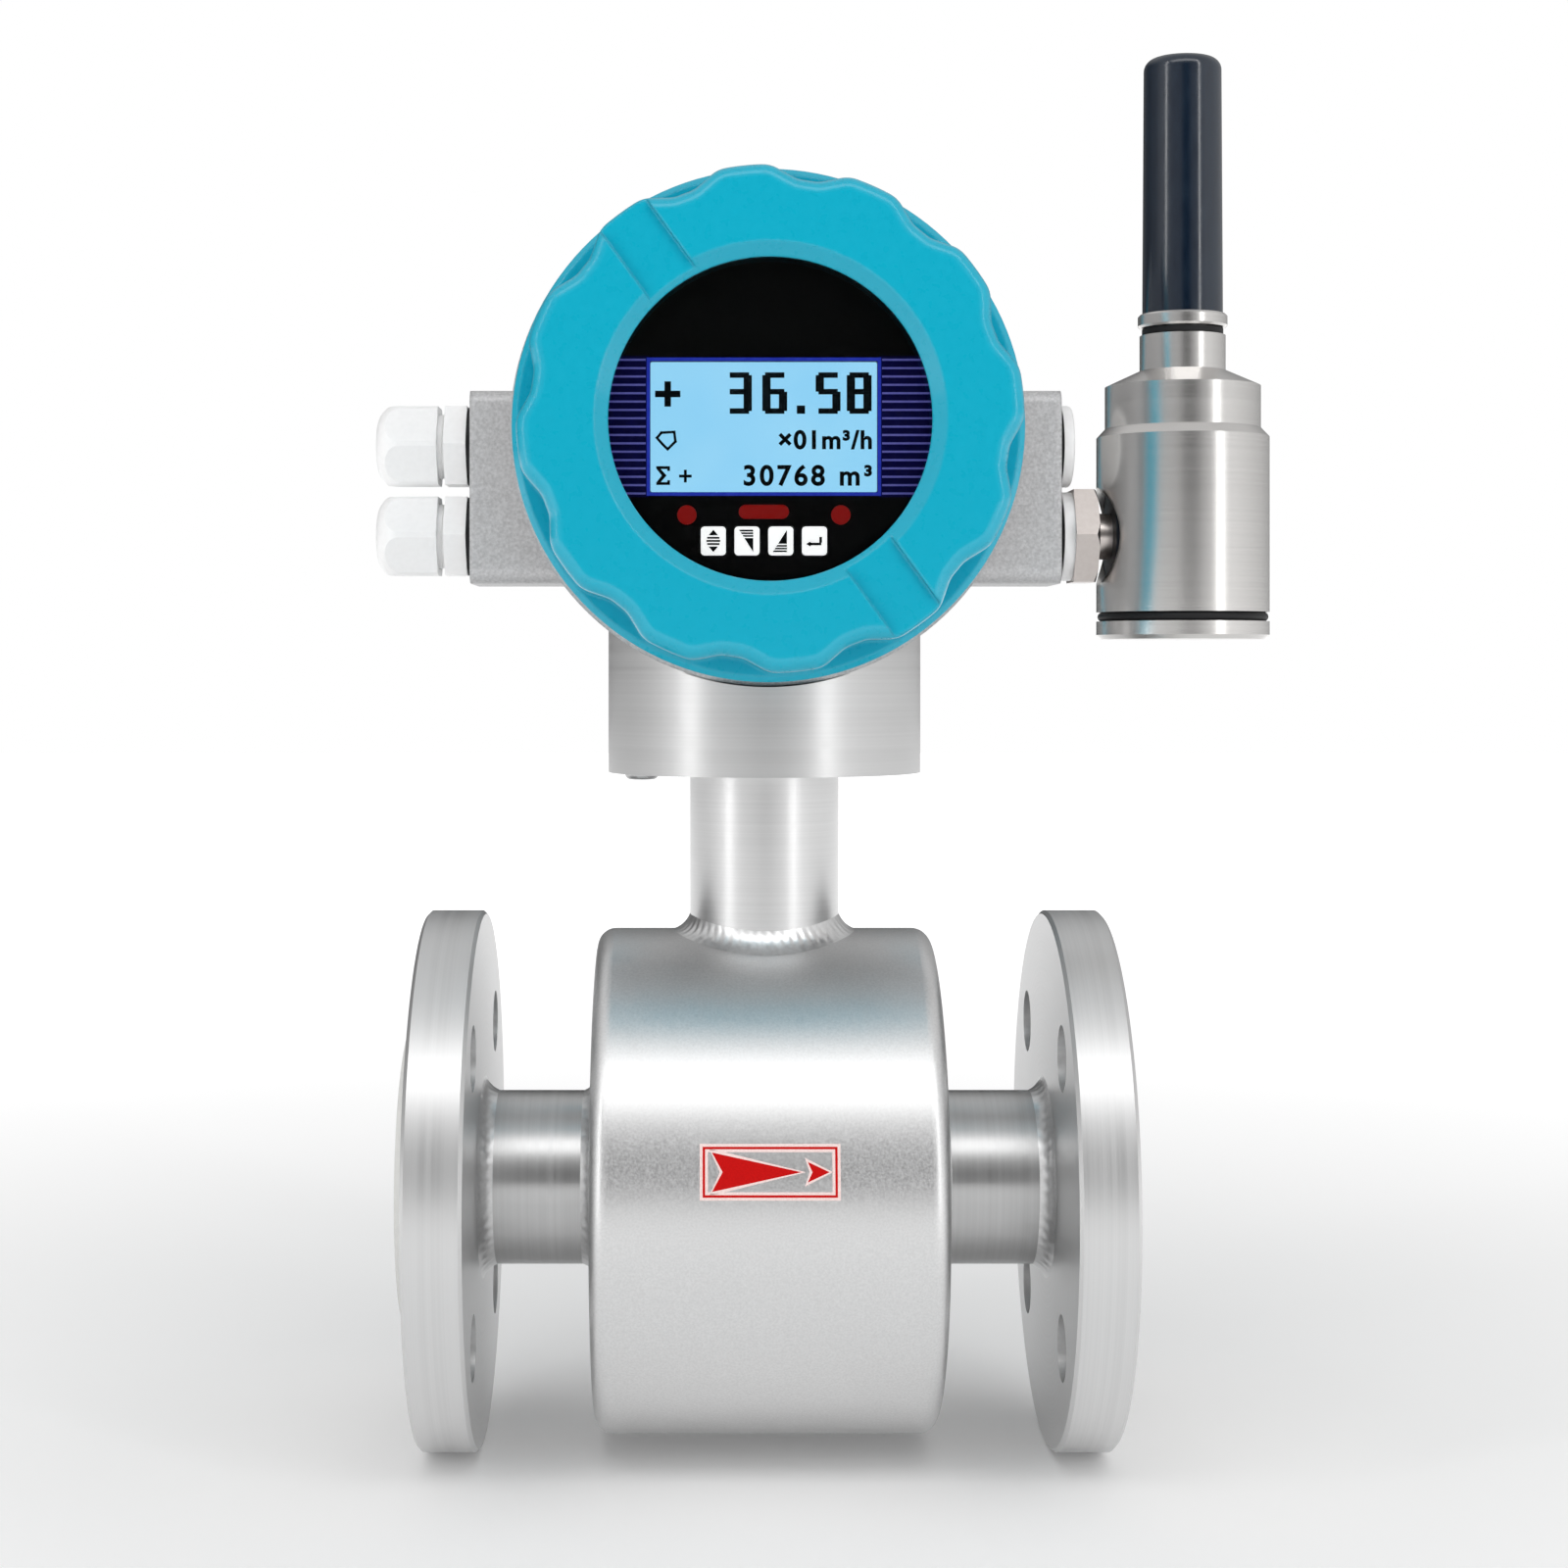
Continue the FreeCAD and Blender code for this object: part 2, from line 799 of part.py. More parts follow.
def display_panel():
    """The black front plate, with its moulded posts, the view of the display and the holes of the
    keys and sensor eyes."""
    panel = rod(panel_d / 2, -panel_front, -panel_back, Y, head_axis())
    cuts = [rounded_block(lcd_view, (graphics_x, lcd_z), -panel_front - 1, -panel_back + 1, 0.5)]
    hole = [size + 2 * slip for size in key_size]
    for x in key_xs():
        place = (x, head_z - key_drop)
        cuts.append(rounded_block(hole, place, -panel_front - 1, -panel_back + 1, key_corner_r))
    cuts += sensor_eye_shapes(sleeve_gap)
    panel = panel.cut(cuts)
    posts = []
    for degrees in (panel_post_deg, 180 - panel_post_deg, 180 + panel_post_deg, -panel_post_deg):
        x, z = on_circle(panel_post_circle_d, degrees, head_z)
        posts.append(rod(panel_post_d / 2, -panel_back, -board_front, Y, V(x, 0, z)))
    return panel.fuse(posts).removeSplitter()


def sensor_eye_shapes(grow):
    shapes = []
    for side in (-1, 1):
        place = V(graphics_x + side * eye_spread / 2, 0, head_z - eye_drop)
        shapes.append(rod(eye_d / 2 + grow, -panel_front, -panel_back, Y, place))
    size = [length + 2 * grow for length in bar_size]
    place = (graphics_x, head_z - bar_drop)
    shapes.append(rounded_block(size, place, -panel_front, -panel_back, size[1] * 0.49))
    return shapes


def sensor_eyes():
    return Part.makeCompound(sensor_eye_shapes(0))


def lcd_module():
    frame = rounded_block(lcd_frame, (graphics_x, lcd_z), -panel_back, -board_front, 0.5)
    view = rounded_block(lcd_view, (graphics_x, lcd_z), -panel_back - 1, -panel_back + lcd_lip, 0.5)
    return frame.cut(view)


def key():
    """The first key. It stands in its hole with its flange behind the panel."""
    place = (key_xs()[0], head_z - key_drop)
    cap = rounded_block(key_size, place, -panel_front - key_proud, -panel_back, key_corner_r)
    flange_size = [size + 2 * key_flange for size in key_size]
    plate = rounded_block(flange_size, place, -panel_back, -panel_back + key_flange_t, key_corner_r)
    start = -panel_back + key_flange_t
    stem = rod(key_stem_d / 2, start, start + key_stem, Y, V(place[0], 0, place[1]))
    return cap.fuse([plate, stem]).removeSplitter()


def switches():
    top = -panel_back + key_flange_t + key_stem + key_travel + 0.1
    for x in key_xs():
        yield rounded_block((switch_size, switch_size), (x, head_z - key_drop), top, -board_front, 0.4)


def standoff_places():
    return [on_circle(standoff_circle_d, degrees, head_z) for degrees in (45, 135, 225, 315)]


def display_board():
    board = rod(board_d / 2, -board_front, -board_back, Y, head_axis())
    holes = []
    for x, z in standoff_places():
        hole_r = board_screw_d / 2 + sleeve_gap
        holes.append(rod(hole_r, -board_front - 1, -board_back + 1, Y, V(x, 0, z)))
    return board.cut(holes).fuse(list(switches())).removeSplitter()


def main_board_back():
    return main_board_y + board_t


def board_standoffs():
    """Four stepped spacers: the main board sits on the step, the display board on the end."""
    spacers = []
    for x, z in standoff_places():
        place = V(x, 0, z)
        foot = rod(standoff_foot_d / 2, main_board_back(), wall_y, Y, place)
        post = rod(standoff_d / 2, -board_back, main_board_back(), Y, place)
        deep = -board_back + board_screw_length
        hole = rod(board_screw_d / 2 + sleeve_gap, -board_back, deep, Y, place)
        spacers.append(foot.fuse(post).cut(hole).removeSplitter())
    return Part.makeCompound(spacers)


def board_screws():
    screws = []
    for x, z in standoff_places():
        place = V(x, 0, z)
        head = rod(board_screw_head_d / 2, -board_front - board_screw_head_t, -board_front, Y, place)
        end = -board_front + board_screw_length
        screws.append(head.fuse(rod(board_screw_d / 2, -board_front, end, Y, place)).removeSplitter())
    return Part.makeCompound(screws)


def main_board():
    board = rod(main_board_d / 2, main_board_y, main_board_back(), Y, head_axis())
    holes = [
        rod(standoff_d / 2 + sleeve_gap, main_board_y - 1, main_board_back() + 1, Y, V(x, 0, z))
        for x, z in standoff_places()
    ]
    width, depth, height = transformer
    parts = [block((-width / 2, width / 2), (main_board_y - depth, main_board_y), (head_z, head_z + height))]
    for side in (-1, 1):
        place = V(side * width / 2, 0, head_z - height)
        parts.append(rod(capacitor_d / 2, main_board_y - capacitor_length, main_board_y, Y, place))
    return board.cut(holes).fuse(parts).removeSplitter()


def terminal_block():
    """A strip with a screw well and a wire entry for each pole."""
    start = wall_y + wall_t
    middle_z = head_z + terminal_rise
    half = pole_count * pole_pitch / 2
    low_z = middle_z - terminal_height / 2
    strip = block((-half, half), (start, start + terminal_depth), (low_z, low_z + terminal_height))
    cuts = []
    end = start + terminal_depth
    for k in range(pole_count):
        x = (k - (pole_count - 1) / 2) * pole_pitch
        cuts.append(rod(pole_screw_d / 2, end - pole_screw_deep, end + 1, Y, V(x, 0, middle_z)))
        entry = (x - pole_entry / 2, x + pole_entry / 2)
        cuts.append(block(entry, (end - 2 * pole_entry, end - pole_entry), (low_z - 1, low_z + pole_entry)))
    return strip.cut(cuts)


# Cable glands on the left side, white nylon


def port_axis(z):
    return V(0, 0, z)


def port_seal(side, z):
    ring = pipe(seal_d / 2, port_d / 2, boss_reach, boss_reach + seal_t, X * side, port_axis(z))
    return ring


def port_seals():
    """The flat seals of the two glands and of the module's adapter."""
    return Part.makeCompound([port_seal(-1, z) for z in port_zs] + [port_seal(1, module_z)])


def gland_body(z):
    left = X * -1
    thread = rod(gland_thread_d / 2, boss_reach - gland_thread_length, gland_hex_x, left, port_axis(z))
    nut = hexagon(gland_flats, gland_hex_x, gland_hex_end, left, port_axis(z))
    spigot = rod(gland_spigot_d / 2, gland_hex_end, gland_body_end, left, port_axis(z))
    bore = rod(gland_bore_d / 2, 0, gland_body_end + 1, left, port_axis(z))
    return thread.fuse([nut, spigot]).cut(bore).removeSplitter()


def gland_insert(z):
    end = gland_body_end + insert_length
    return pipe(insert_d / 2, insert_bore_d / 2, gland_body_end, end, X * -1, port_axis(z))


def gland_nut(z):
    """The dome nut: six flats that run out into a rounded crown."""
    left = X * -1
    end = gland_nut_x + gland_nut_length
    crown = gland_nut_x + gland_nut_hex_length
    corner_r = gland_nut_corner_d / 2
    tip_r = gland_nut_tip_d / 2
    outside = turned(
        [
            (gland_nut_x, 0),
            (gland_nut_x, corner_r),
            (crown, corner_r),
            (crown + (end - crown) * 0.66, corner_r - (corner_r - tip_r) * 0.32, end, tip_r),
            (end, 0),
        ],
        left,
        port_axis(z),
    )
    insert_end = gland_body_end + insert_length
    inside = turned(
        [
            (gland_nut_x - 1, 0),
            (gland_nut_x - 1, gland_spigot_d / 2 + run_gap),
            (gland_body_end + slip, gland_spigot_d / 2 + run_gap),
            (gland_body_end + slip, insert_d / 2 + slip),
            (insert_end, insert_d / 2 + slip),
            (insert_end, gland_mouth_d / 2),
            (end + 1, gland_mouth_d / 2),
            (end + 1, 0),
        ],
        left,
        port_axis(z),
    )
    bar = hexagon(gland_flats, gland_nut_x, end, left, port_axis(z))
    return bar.common(outside).cut(inside).removeSplitter()


# Blanking plug in the right upper port


def blanking_plug():
    start = boss_reach + seal_t
    end = start + plug_head_t
    plug_r = plug_d / 2
    thread_r = gland_thread_d / 2
    inner = boss_reach - gland_thread_length
    corner = plug_edge_r * (1 - sin(pi / 4))
    return turned(
        [
            (inner, plug_bore_d / 2),
            (inner, thread_r),
            (start, thread_r),
            (start, plug_r),
            (end - plug_edge_r, plug_r),
            (end - corner, plug_r - corner, end, plug_r - plug_edge_r),
            (end, 0),
            (start, 0),
            (start, plug_bore_d / 2),
        ],
        X,
        port_axis(port_zs[0]),
    )


# Radio module on the right lower port


def module_adapter():
    """The nylon adapter: it screws into the port and carries the lock nut on a spigot."""
    start = boss_reach - gland_thread_length
    flange_start = boss_reach + seal_t
    return turned(
        [
            (start, adapter_bore_d / 2),
            (start, gland_thread_d / 2),
            (flange_start, gland_thread_d / 2),
            (flange_start, adapter_d / 2),
            (adapter_x, adapter_d / 2),
            (adapter_x, adapter_spigot_d / 2),
            (adapter_x + adapter_spigot_length, adapter_spigot_d / 2),
            (adapter_x + adapter_spigot_length, adapter_bore_d / 2),
        ],
        X,
        port_axis(module_z),
    )


def module_lock_nut():
    axis = port_axis(module_z)
    nut = hexagon(lock_nut_flats, adapter_x, lock_nut_end, X, axis)
    corner_r = lock_nut_flats / sqrt(3)
    chamfered = turned(
        [
            (adapter_x, 0),
            (adapter_x, corner_r),
            (lock_nut_end - 1, corner_r),
            (lock_nut_end, corner_r - 1.5),
            (lock_nut_end, 0),
        ],
        X,
        axis,
    )
    wide = rod(adapter_spigot_d / 2 + sleeve_gap, adapter_x - 1, lock_nut_end - lock_nut_lip, X, axis)
    narrow = rod(stub_d / 2 + run_gap, adapter_x, lock_nut_end + 1, X, axis)
    return nut.common(chamfered).cut([wide, narrow]).removeSplitter()


def module_stub():
    """The pipe stub that the lock nut clamps by its flange."""
    start = adapter_x + adapter_spigot_length + slip
    inner_wall = module_x - module_inner_r
    end = inner_wall + stub_inside
    flange_r = adapter_spigot_d / 2 - run_gap
    return turned(
        [
            (start, stub_bore_d / 2),
            (start, flange_r),
            (start + stub_flange_t, flange_r),
            (start + stub_flange_t, stub_d / 2),
            (end, stub_d / 2),
            (end, stub_bore_d / 2),
        ],
        X,
        port_axis(module_z),
    )


def module_washer():
    inner_r = stub_d / 2 + sleeve_gap
    return pipe(washer_d / 2, inner_r, spot_x - washer_t, spot_x, X, port_axis(module_z))


def module_axis():
    return V(module_x, 0, 0)


def module_body():
    """A turned sleeve with a shoulder and a neck, spot-faced where the stub enters its side."""
    step_r = module_step_d / 2
    neck_r_here = module_neck_d / 2
    top = module_top_z + module_cone
    inner_top = module_top_z - module_wall
    body = turned(
        [
            (module_low_z, module_inner_r),
            (module_low_z, module_r),
            (module_shoulder_z, module_r),
            (module_shoulder_z + module_step, step_r),
            (module_top_z, step_r),
            (top, neck_r_here),
            (module_neck_z, neck_r_here),
            (module_neck_z, module_bore_d / 2),
            (inner_top, module_bore_d / 2),
            (inner_top, step_r - module_wall),
            (module_shoulder_z, step_r - module_wall),
            (module_shoulder_z, module_inner_r),
        ],
        Z,
        module_axis(),
    )
    flat = rod(washer_d / 2 + slip, 0, spot_x, X, port_axis(module_z))
    hole = rod(stub_d / 2 + sleeve_gap, 0, module_x, X, port_axis(module_z))
    return body.cut([flat, hole])


def module_card():
    """The circuit card, held at its two edges by the sleeve."""
    half = sqrt((module_inner_r - 2 * sleeve_gap) ** 2 - (card_y + card_t) ** 2)
    top_z = card_low_z + card_height
    card = block((module_x - half, module_x + half), (card_y, card_y + card_t), (card_low_z, top_z))
    width, depth, height = card_part
    middle = card_low_z + card_height / 2
    chip = block(
        (module_x - width / 2, module_x + width / 2), (card_y - depth, card_y), (middle, middle + height)
    )
    return card.fuse(chip).removeSplitter()


def module_cap():
    """The bottom cap: a disc with a hollow threaded spigot."""
    low_z = cap_top_z - cap_t
    spigot_here = module_inner_r - run_gap
    top_z = module_low_z + cap_spigot_length
    return turned(
        [
            (low_z, 0),
            (low_z, module_r - cap_edge),
            (low_z + cap_edge, module_r),
            (cap_top_z, module_r),
            (cap_top_z, spigot_here),
            (top_z, spigot_here),
            (top_z, spigot_here - cap_spigot_wall),
            (cap_top_z, spigot_here - cap_spigot_wall),
            (cap_top_z, 0),
        ],
        Z,
        module_axis(),
    )


def module_cap_seal():
    middle = (cap_top_z + module_low_z) / 2
    return torus(cap_seal_d, cap_gap, middle, Z, module_axis())


# Antenna on the module's neck


def aerial_seal():
    start = module_neck_z + aerial_seal_gap
    end = start + aerial_seal_t
    return pipe(aerial_seal_d / 2, module_bore_d / 2, start, end, Z, module_axis())


def aerial_ferrule():
    thread_r = module_bore_d / 2 - run_gap
    ring_r = ferrule_d / 2
    tail_z = aerial_z - aerial_tail_length
    return turned(
        [
            (module_neck_z - aerial_thread_length, 0),
            (module_neck_z - aerial_thread_length, thread_r),
            (ferrule_z, thread_r),
            (ferrule_z, ring_r - ferrule_edge),
            (ferrule_z + ferrule_edge, ring_r),
            (aerial_z - ferrule_edge, ring_r),
            (aerial_z, ring_r - ferrule_edge),
            (aerial_z, aerial_tail_d / 2 + sleeve_gap),
            (tail_z, aerial_tail_d / 2 + sleeve_gap),
            (tail_z, 0),
        ],
        Z,
        module_axis(),
    )


def aerial_rod():
    """The plastic whip: a slightly tapered rod with a rounded top."""
    top_z = aerial_z + aerial_length
    tip_r = aerial_tip_d / 2
    corner = aerial_edge_r * (1 - sin(pi / 4))
    tail_z = aerial_z - aerial_tail_length
    return turned(
        [
            (tail_z, 0),
            (tail_z, aerial_tail_d / 2),
            (aerial_z, aerial_tail_d / 2),
            (aerial_z, aerial_d / 2),
            (top_z - aerial_edge_r, tip_r),
            (top_z - corner, tip_r - corner, top_z, tip_r - aerial_edge_r),
            (top_z, 0),
        ],
        Z,
        module_axis(),
    )


def sensor_nodes():
    outlet_flange = flange()
    outlet_plate = drum_end_plate()
    return {
        "measuring_tube": measuring_tube(),
        "tube_liner": tube_liner(),
        "inlet_flange": mirrored(outlet_flange),
        "outlet_flange": outlet_flange,
        "tube_weld_beads": tube_weld_beads(),
        "coil_drum_shell": coil_drum_shell(),
        "drum_inlet_end": mirrored(outlet_plate),
        "drum_outlet_end": outlet_plate,
        "neck_tube": neck_tube(),
        "neck_weld_bead": neck_weld_bead(),
        "swivel_flange": swivel_flange(),
        "magnet_poles": magnet_poles(),
        "saddle_coils": saddle_coils(),
        "return_yoke": return_yoke(),
        "electrodes": electrodes(),
        "electrode_insulators": electrode_insulators(),
        "electrode_nuts": electrode_nuts(),
    }


def head_nodes():
    return {
        "collar": collar(),
        "lock_screw": lock_screw(),
        "housing": housing(),
        "front_cover": front_cover(),
        "front_cover_seal": cover_seal(-1),
        "window_gasket": window_gasket(),
        "window_glass": window_glass(),
        "glass_ring": glass_ring(),
        "rear_cover": rear_cover(),
        "rear_cover_seal": cover_seal(1),
        "main_board": main_board(),
        "terminal_block": terminal_block(),
        "port_seals": port_seals(),
        "blanking_plug": blanking_plug(),
        "blanking_plug_seal": port_seal(1, port_zs[0]),
    }


def display_nodes():
    nodes = {
        "display_panel": display_panel(),
        "sensor_eyes": sensor_eyes(),
        "lcd_module": lcd_module(),
        "display_board": display_board(),
        "board_standoffs": board_standoffs(),
        "board_screws": board_screws(),
    }
    first_key = key()
    for k, name in enumerate(("menu", "down", "up", "enter")):
        copy = first_key.copy()
        copy.translate(V(k * key_pitch, 0, 0))
        nodes["key_" + name] = copy
    return nodes


def gland_nodes():
    nodes = {}
    for name, z in zip(("upper", "lower"), port_zs):
        nodes[name + "_gland_body"] = gland_body(z)
        nodes[name + "_gland_insert"] = gland_insert(z)
        nodes[name + "_gland_nut"] = gland_nut(z)
    return nodes


def module_nodes():
    return {
        "module_adapter": module_adapter(),
        "module_lock_nut": module_lock_nut(),
        "module_stub": module_stub(),
        "module_washer": module_washer(),
        "module_body": module_body(),
        "module_card": module_card(),
        "module_cap": module_cap(),
        "module_cap_seal": module_cap_seal(),
        "antenna_seal": aerial_seal(),
        "antenna_ferrule": aerial_ferrule(),
        "antenna_rod": aerial_rod(),
    }


os.makedirs("parts", exist_ok=True)
for group in (sensor_nodes(), head_nodes(), display_nodes(), gland_nodes(), module_nodes()):
    for node, shape in group.items():
        shape.exportStep("parts/" + node + ".step")
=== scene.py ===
"""Finishes of the electromagnetic flow meter, piece by piece, in the order in which it is put
together: the welded sensor, the head on its neck, the display, the cable fittings and the radio
module. Metres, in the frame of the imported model: +X is the flow, +Z is up, the display faces -Y."""

from math import cos, pi, radians, sin, sqrt

import bmesh
import bpy
from mathutils import Matrix, Vector


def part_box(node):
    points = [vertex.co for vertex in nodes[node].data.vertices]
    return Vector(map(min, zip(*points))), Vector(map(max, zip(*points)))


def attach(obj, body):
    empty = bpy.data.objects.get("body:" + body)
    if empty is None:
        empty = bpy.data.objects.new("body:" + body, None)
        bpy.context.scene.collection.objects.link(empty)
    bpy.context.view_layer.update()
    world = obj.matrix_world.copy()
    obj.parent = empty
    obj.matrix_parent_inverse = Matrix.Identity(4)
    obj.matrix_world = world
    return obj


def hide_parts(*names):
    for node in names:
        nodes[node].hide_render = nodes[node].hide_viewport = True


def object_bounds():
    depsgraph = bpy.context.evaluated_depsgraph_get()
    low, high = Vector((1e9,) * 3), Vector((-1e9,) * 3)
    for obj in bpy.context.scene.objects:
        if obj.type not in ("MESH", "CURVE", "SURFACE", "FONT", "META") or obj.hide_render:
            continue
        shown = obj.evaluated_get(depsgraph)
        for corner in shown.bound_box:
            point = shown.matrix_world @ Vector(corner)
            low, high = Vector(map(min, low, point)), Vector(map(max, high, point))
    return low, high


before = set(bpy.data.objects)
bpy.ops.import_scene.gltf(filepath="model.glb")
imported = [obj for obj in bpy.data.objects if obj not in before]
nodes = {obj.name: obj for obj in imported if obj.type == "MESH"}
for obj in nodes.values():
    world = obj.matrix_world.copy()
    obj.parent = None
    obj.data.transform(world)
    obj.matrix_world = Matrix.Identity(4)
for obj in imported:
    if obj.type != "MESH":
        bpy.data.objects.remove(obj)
cad_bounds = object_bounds()
mm = 0.001

# Camera. A short telephoto at three quarters of a metre, level with the head's lower edge, a
# little left of the middle and square to the display.

camera_data = bpy.data.cameras.new("camera")
camera_data.sensor_width = 36.0
camera_data.lens = 62.1
camera_data.shift_x = 0.0514
camera_data.shift_y = -0.0754
camera = bpy.data.objects.new("camera", camera_data)
camera.location = (-0.0172, -0.765, 0.1444)
camera.rotation_euler = (pi / 2, 0, 0)
bpy.context.scene.collection.objects.link(camera)
bpy.context.scene.camera = camera

# Studio. A pale room, darker only where the camera stands, with two tall strips at the sides and
# one wide softbox above. The floor is a matt white sheet that brightens away from the meter.


def linear(hex_tone):
    """The linear colour of an sRGB hex value such as "1DB4CF"."""
    parts = [int(hex_tone[k : k + 2], 16) / 255 for k in (0, 2, 4)]
    return [c / 12.92 if c <= 0.04045 else ((c + 0.055) / 1.055) ** 2.4 for c in parts] + [1.0]


def put(tree, kind, inputs=None, stops=(), **settings):
    """Adds a node. Inputs are values or other nodes' outputs, and stops are a ramp's (place, tone)."""
    made = tree.nodes.new(kind)
    for name, value in settings.items():
        setattr(made, name, value)
    for k, (place, tone) in enumerate(stops):
        elements = made.color_ramp.elements
        element = elements[k] if k < 2 else elements.new(place)
        element.position = place
        element.color = linear(tone) if isinstance(tone, str) else (tone, tone, tone, 1)
    for socket, value in (inputs or {}).items():
        if isinstance(value, bpy.types.NodeSocket):
            tree.links.new(value, made.inputs[socket])
        else:
            made.inputs[socket].default_value = value
    return made


def light_room():
    """Brightness by direction: grey ahead, bright at the sides, and one dark spot for the camera."""
    world = bpy.data.worlds.new("studio")
    world.use_nodes = True
    bpy.context.scene.world = world
    tree = world.node_tree
    tree.nodes.clear()
    towards = put(tree, "ShaderNodeTexCoord").outputs["Generated"]
    parts = put(tree, "ShaderNodeSeparateXYZ", {0: towards}).outputs
    ahead = put(tree, "ShaderNodeMath", {0: parts["Y"], 1: -1.0}, operation="MULTIPLY").outputs[0]
    turn = put(tree, "ShaderNodeMath", {0: parts["X"], 1: ahead}, operation="ARCTAN2").outputs[0]
    around = {"Value": turn, "From Min": -pi, "From Max": pi}
    share = put(tree, "ShaderNodeMapRange", around).outputs[0]
    left = ((0.0, 0.2), (0.14, 0.1), (0.24, 0.32), (0.3, 0.78), (0.4, 0.4))
    right = ((0.5, 0.3), (0.6, 0.4), (0.67, 0.86), (0.82, 0.62), (1.0, 0.2))
    walls = put(tree, "ShaderNodeValToRGB", {0: share}, stops=left + right).outputs[0]
    wall_top = {"Value": parts["Z"], "From Min": 0.35, "From Max": 0.8}
    height = put(tree, "ShaderNodeMapRange", wall_top, interpolation_type="SMOOTHSTEP").outputs[0]
    ceiling = (0.7, 0.7, 0.7, 1)
    room = put(tree, "ShaderNodeMix", {0: height, 6: walls, 7: ceiling}, data_type="RGBA").outputs[2]
    offset = {"Vector": towards, "Location": (-0.024, 0, -0.091), "Scale": (1, 0, 1)}
    spot = put(tree, "ShaderNodeMapping", offset).outputs[0]
    apart = put(tree, "ShaderNodeVectorMath", {0: spot}, operation="LENGTH").outputs["Value"]
    spot_edge = {"Value": apart, "From Min": 0.1, "From Max": 0.34}
    clear = put(tree, "ShaderNodeMapRange", spot_edge, interpolation_type="SMOOTHSTEP").outputs[0]
    dark = (0.004, 0.004, 0.004, 1)
    spotted = put(tree, "ShaderNodeMix", {0: clear, 6: dark, 7: room}, data_type="RGBA").outputs[2]
    lit = put(tree, "ShaderNodeBackground", {"Color": spotted}).outputs[0]
    backdrop = put(tree, "ShaderNodeBackground", {"Color": (1, 1, 1, 1)}).outputs[0]
    seen = put(tree, "ShaderNodeLightPath").outputs["Is Camera Ray"]
    both = put(tree, "ShaderNodeMixShader", {0: seen, 1: lit, 2: backdrop}).outputs[0]
    put(tree, "ShaderNodeOutputWorld", {"Surface": both})


def softbox(name, place, aim, size, power):
    """A rectangular lamp that the camera doesn't see; its power is in watts."""
    data = bpy.data.lights.new(name, "AREA")
    data.shape = "RECTANGLE"
    data.size, data.size_y = size
    data.energy = power
    light = bpy.data.objects.new(name, data)
    light.location = place
    light.rotation_euler = (Vector(aim) - Vector(place)).to_track_quat("-Z", "Y").to_euler()
    light.visible_camera = False
    bpy.context.scene.collection.objects.link(light)


def floor_sheet():
    """The sheet that the meter stands on, a few metres to each side, with a glow that grows outwards."""
    reach = 6.0
    z = cad_bounds[0][2]
    mesh = bpy.data.meshes.new("floor")
    corners = [(-reach, -reach, z), (reach, -reach, z), (reach, reach, z), (-reach, reach, z)]
    mesh.from_pydata(corners, [], [(0, 1, 2, 3)])
    sheet = bpy.data.objects.new("floor", mesh)
    bpy.context.scene.collection.objects.link(sheet)
    paper = bpy.data.materials.new("matt white floor sheet")
    paper.use_nodes = True
    shader = paper.node_tree.nodes["Principled BSDF"]
    shader.inputs["Base Color"].default_value = linear("F8F8F8")
    shader.inputs["Roughness"].default_value = 0.9
    shader.inputs["Specular IOR Level"].default_value = 0.1
    shader.inputs["Emission Color"].default_value = (1, 1, 1, 1)
    here = put(paper.node_tree, "ShaderNodeTexCoord").outputs["Object"]
    away = put(paper.node_tree, "ShaderNodeVectorMath", {0: here}, operation="LENGTH").outputs["Value"]
    limits = {"Value": away, "From Min": 0.2, "From Max": 1.6, "To Min": 0.08, "To Max": 0.8}
    glow = put(paper.node_tree, "ShaderNodeMapRange", limits).outputs[0]
    paper.node_tree.links.new(glow, shader.inputs["Emission Strength"])
    mesh.materials.append(paper)


light_room()
bpy.context.scene.view_settings.view_transform = "Standard"
softbox("left strip", (-1.24, -0.84, 0.6), (0, 0, 0.2), (0.1, 1.5), 3.0)
softbox("right strip", (1.04, -1.08, 0.6), (0, 0, 0.2), (0.1, 1.5), 3.0)
softbox("top softbox", (0, -1.0, 1.25), (0, 0, 0.05), (1.8, 0.55), 6.0)
floor_sheet()

# Flow tube and flanges. Stainless tube with slip-on flanges, faced and turned on a lathe, so fine
# rings run round every surface.


def finish(name, constants):
    """A new material and its shader; constants are the shader's unlinked sockets by name."""
    material = bpy.data.materials.new(name)
    material.use_nodes = True
    shader = material.node_tree.nodes["Principled BSDF"]
    for socket, value in constants.items():
        shader.inputs[socket].default_value = value
    return material, material.node_tree, shader


def rings(tree, axis, centre, per_mm, detail=3.0):
    """Rings as a cutting tool leaves them: noise by the place along the axis and the distance from it.
    Real ones are five or more to a millimetre, too fine to show, so they are drawn coarser."""
    here = put(tree, "ShaderNodeTexCoord").outputs["Object"]
    local = put(tree, "ShaderNodeMapping", {"Vector": here, "Location": -Vector(centre)}).outputs[0]
    parts = put(tree, "ShaderNodeSeparateXYZ", {0: local}).outputs
    across = [parts[name] for name in "XYZ" if name != axis]
    flat = put(tree, "ShaderNodeCombineXYZ", {0: across[0], 1: across[1]}).outputs[0]
    radius = put(tree, "ShaderNodeVectorMath", {0: flat}, operation="LENGTH").outputs["Value"]
    turned = put(tree, "ShaderNodeCombineXYZ", {0: parts[axis], 1: radius}).outputs[0]
    settings = {"Vector": turned, "Scale": 1000 * per_mm, "Detail": detail, "Roughness": 0.6}
    return put(tree, "ShaderNodeTexNoise", settings).outputs["Fac"]


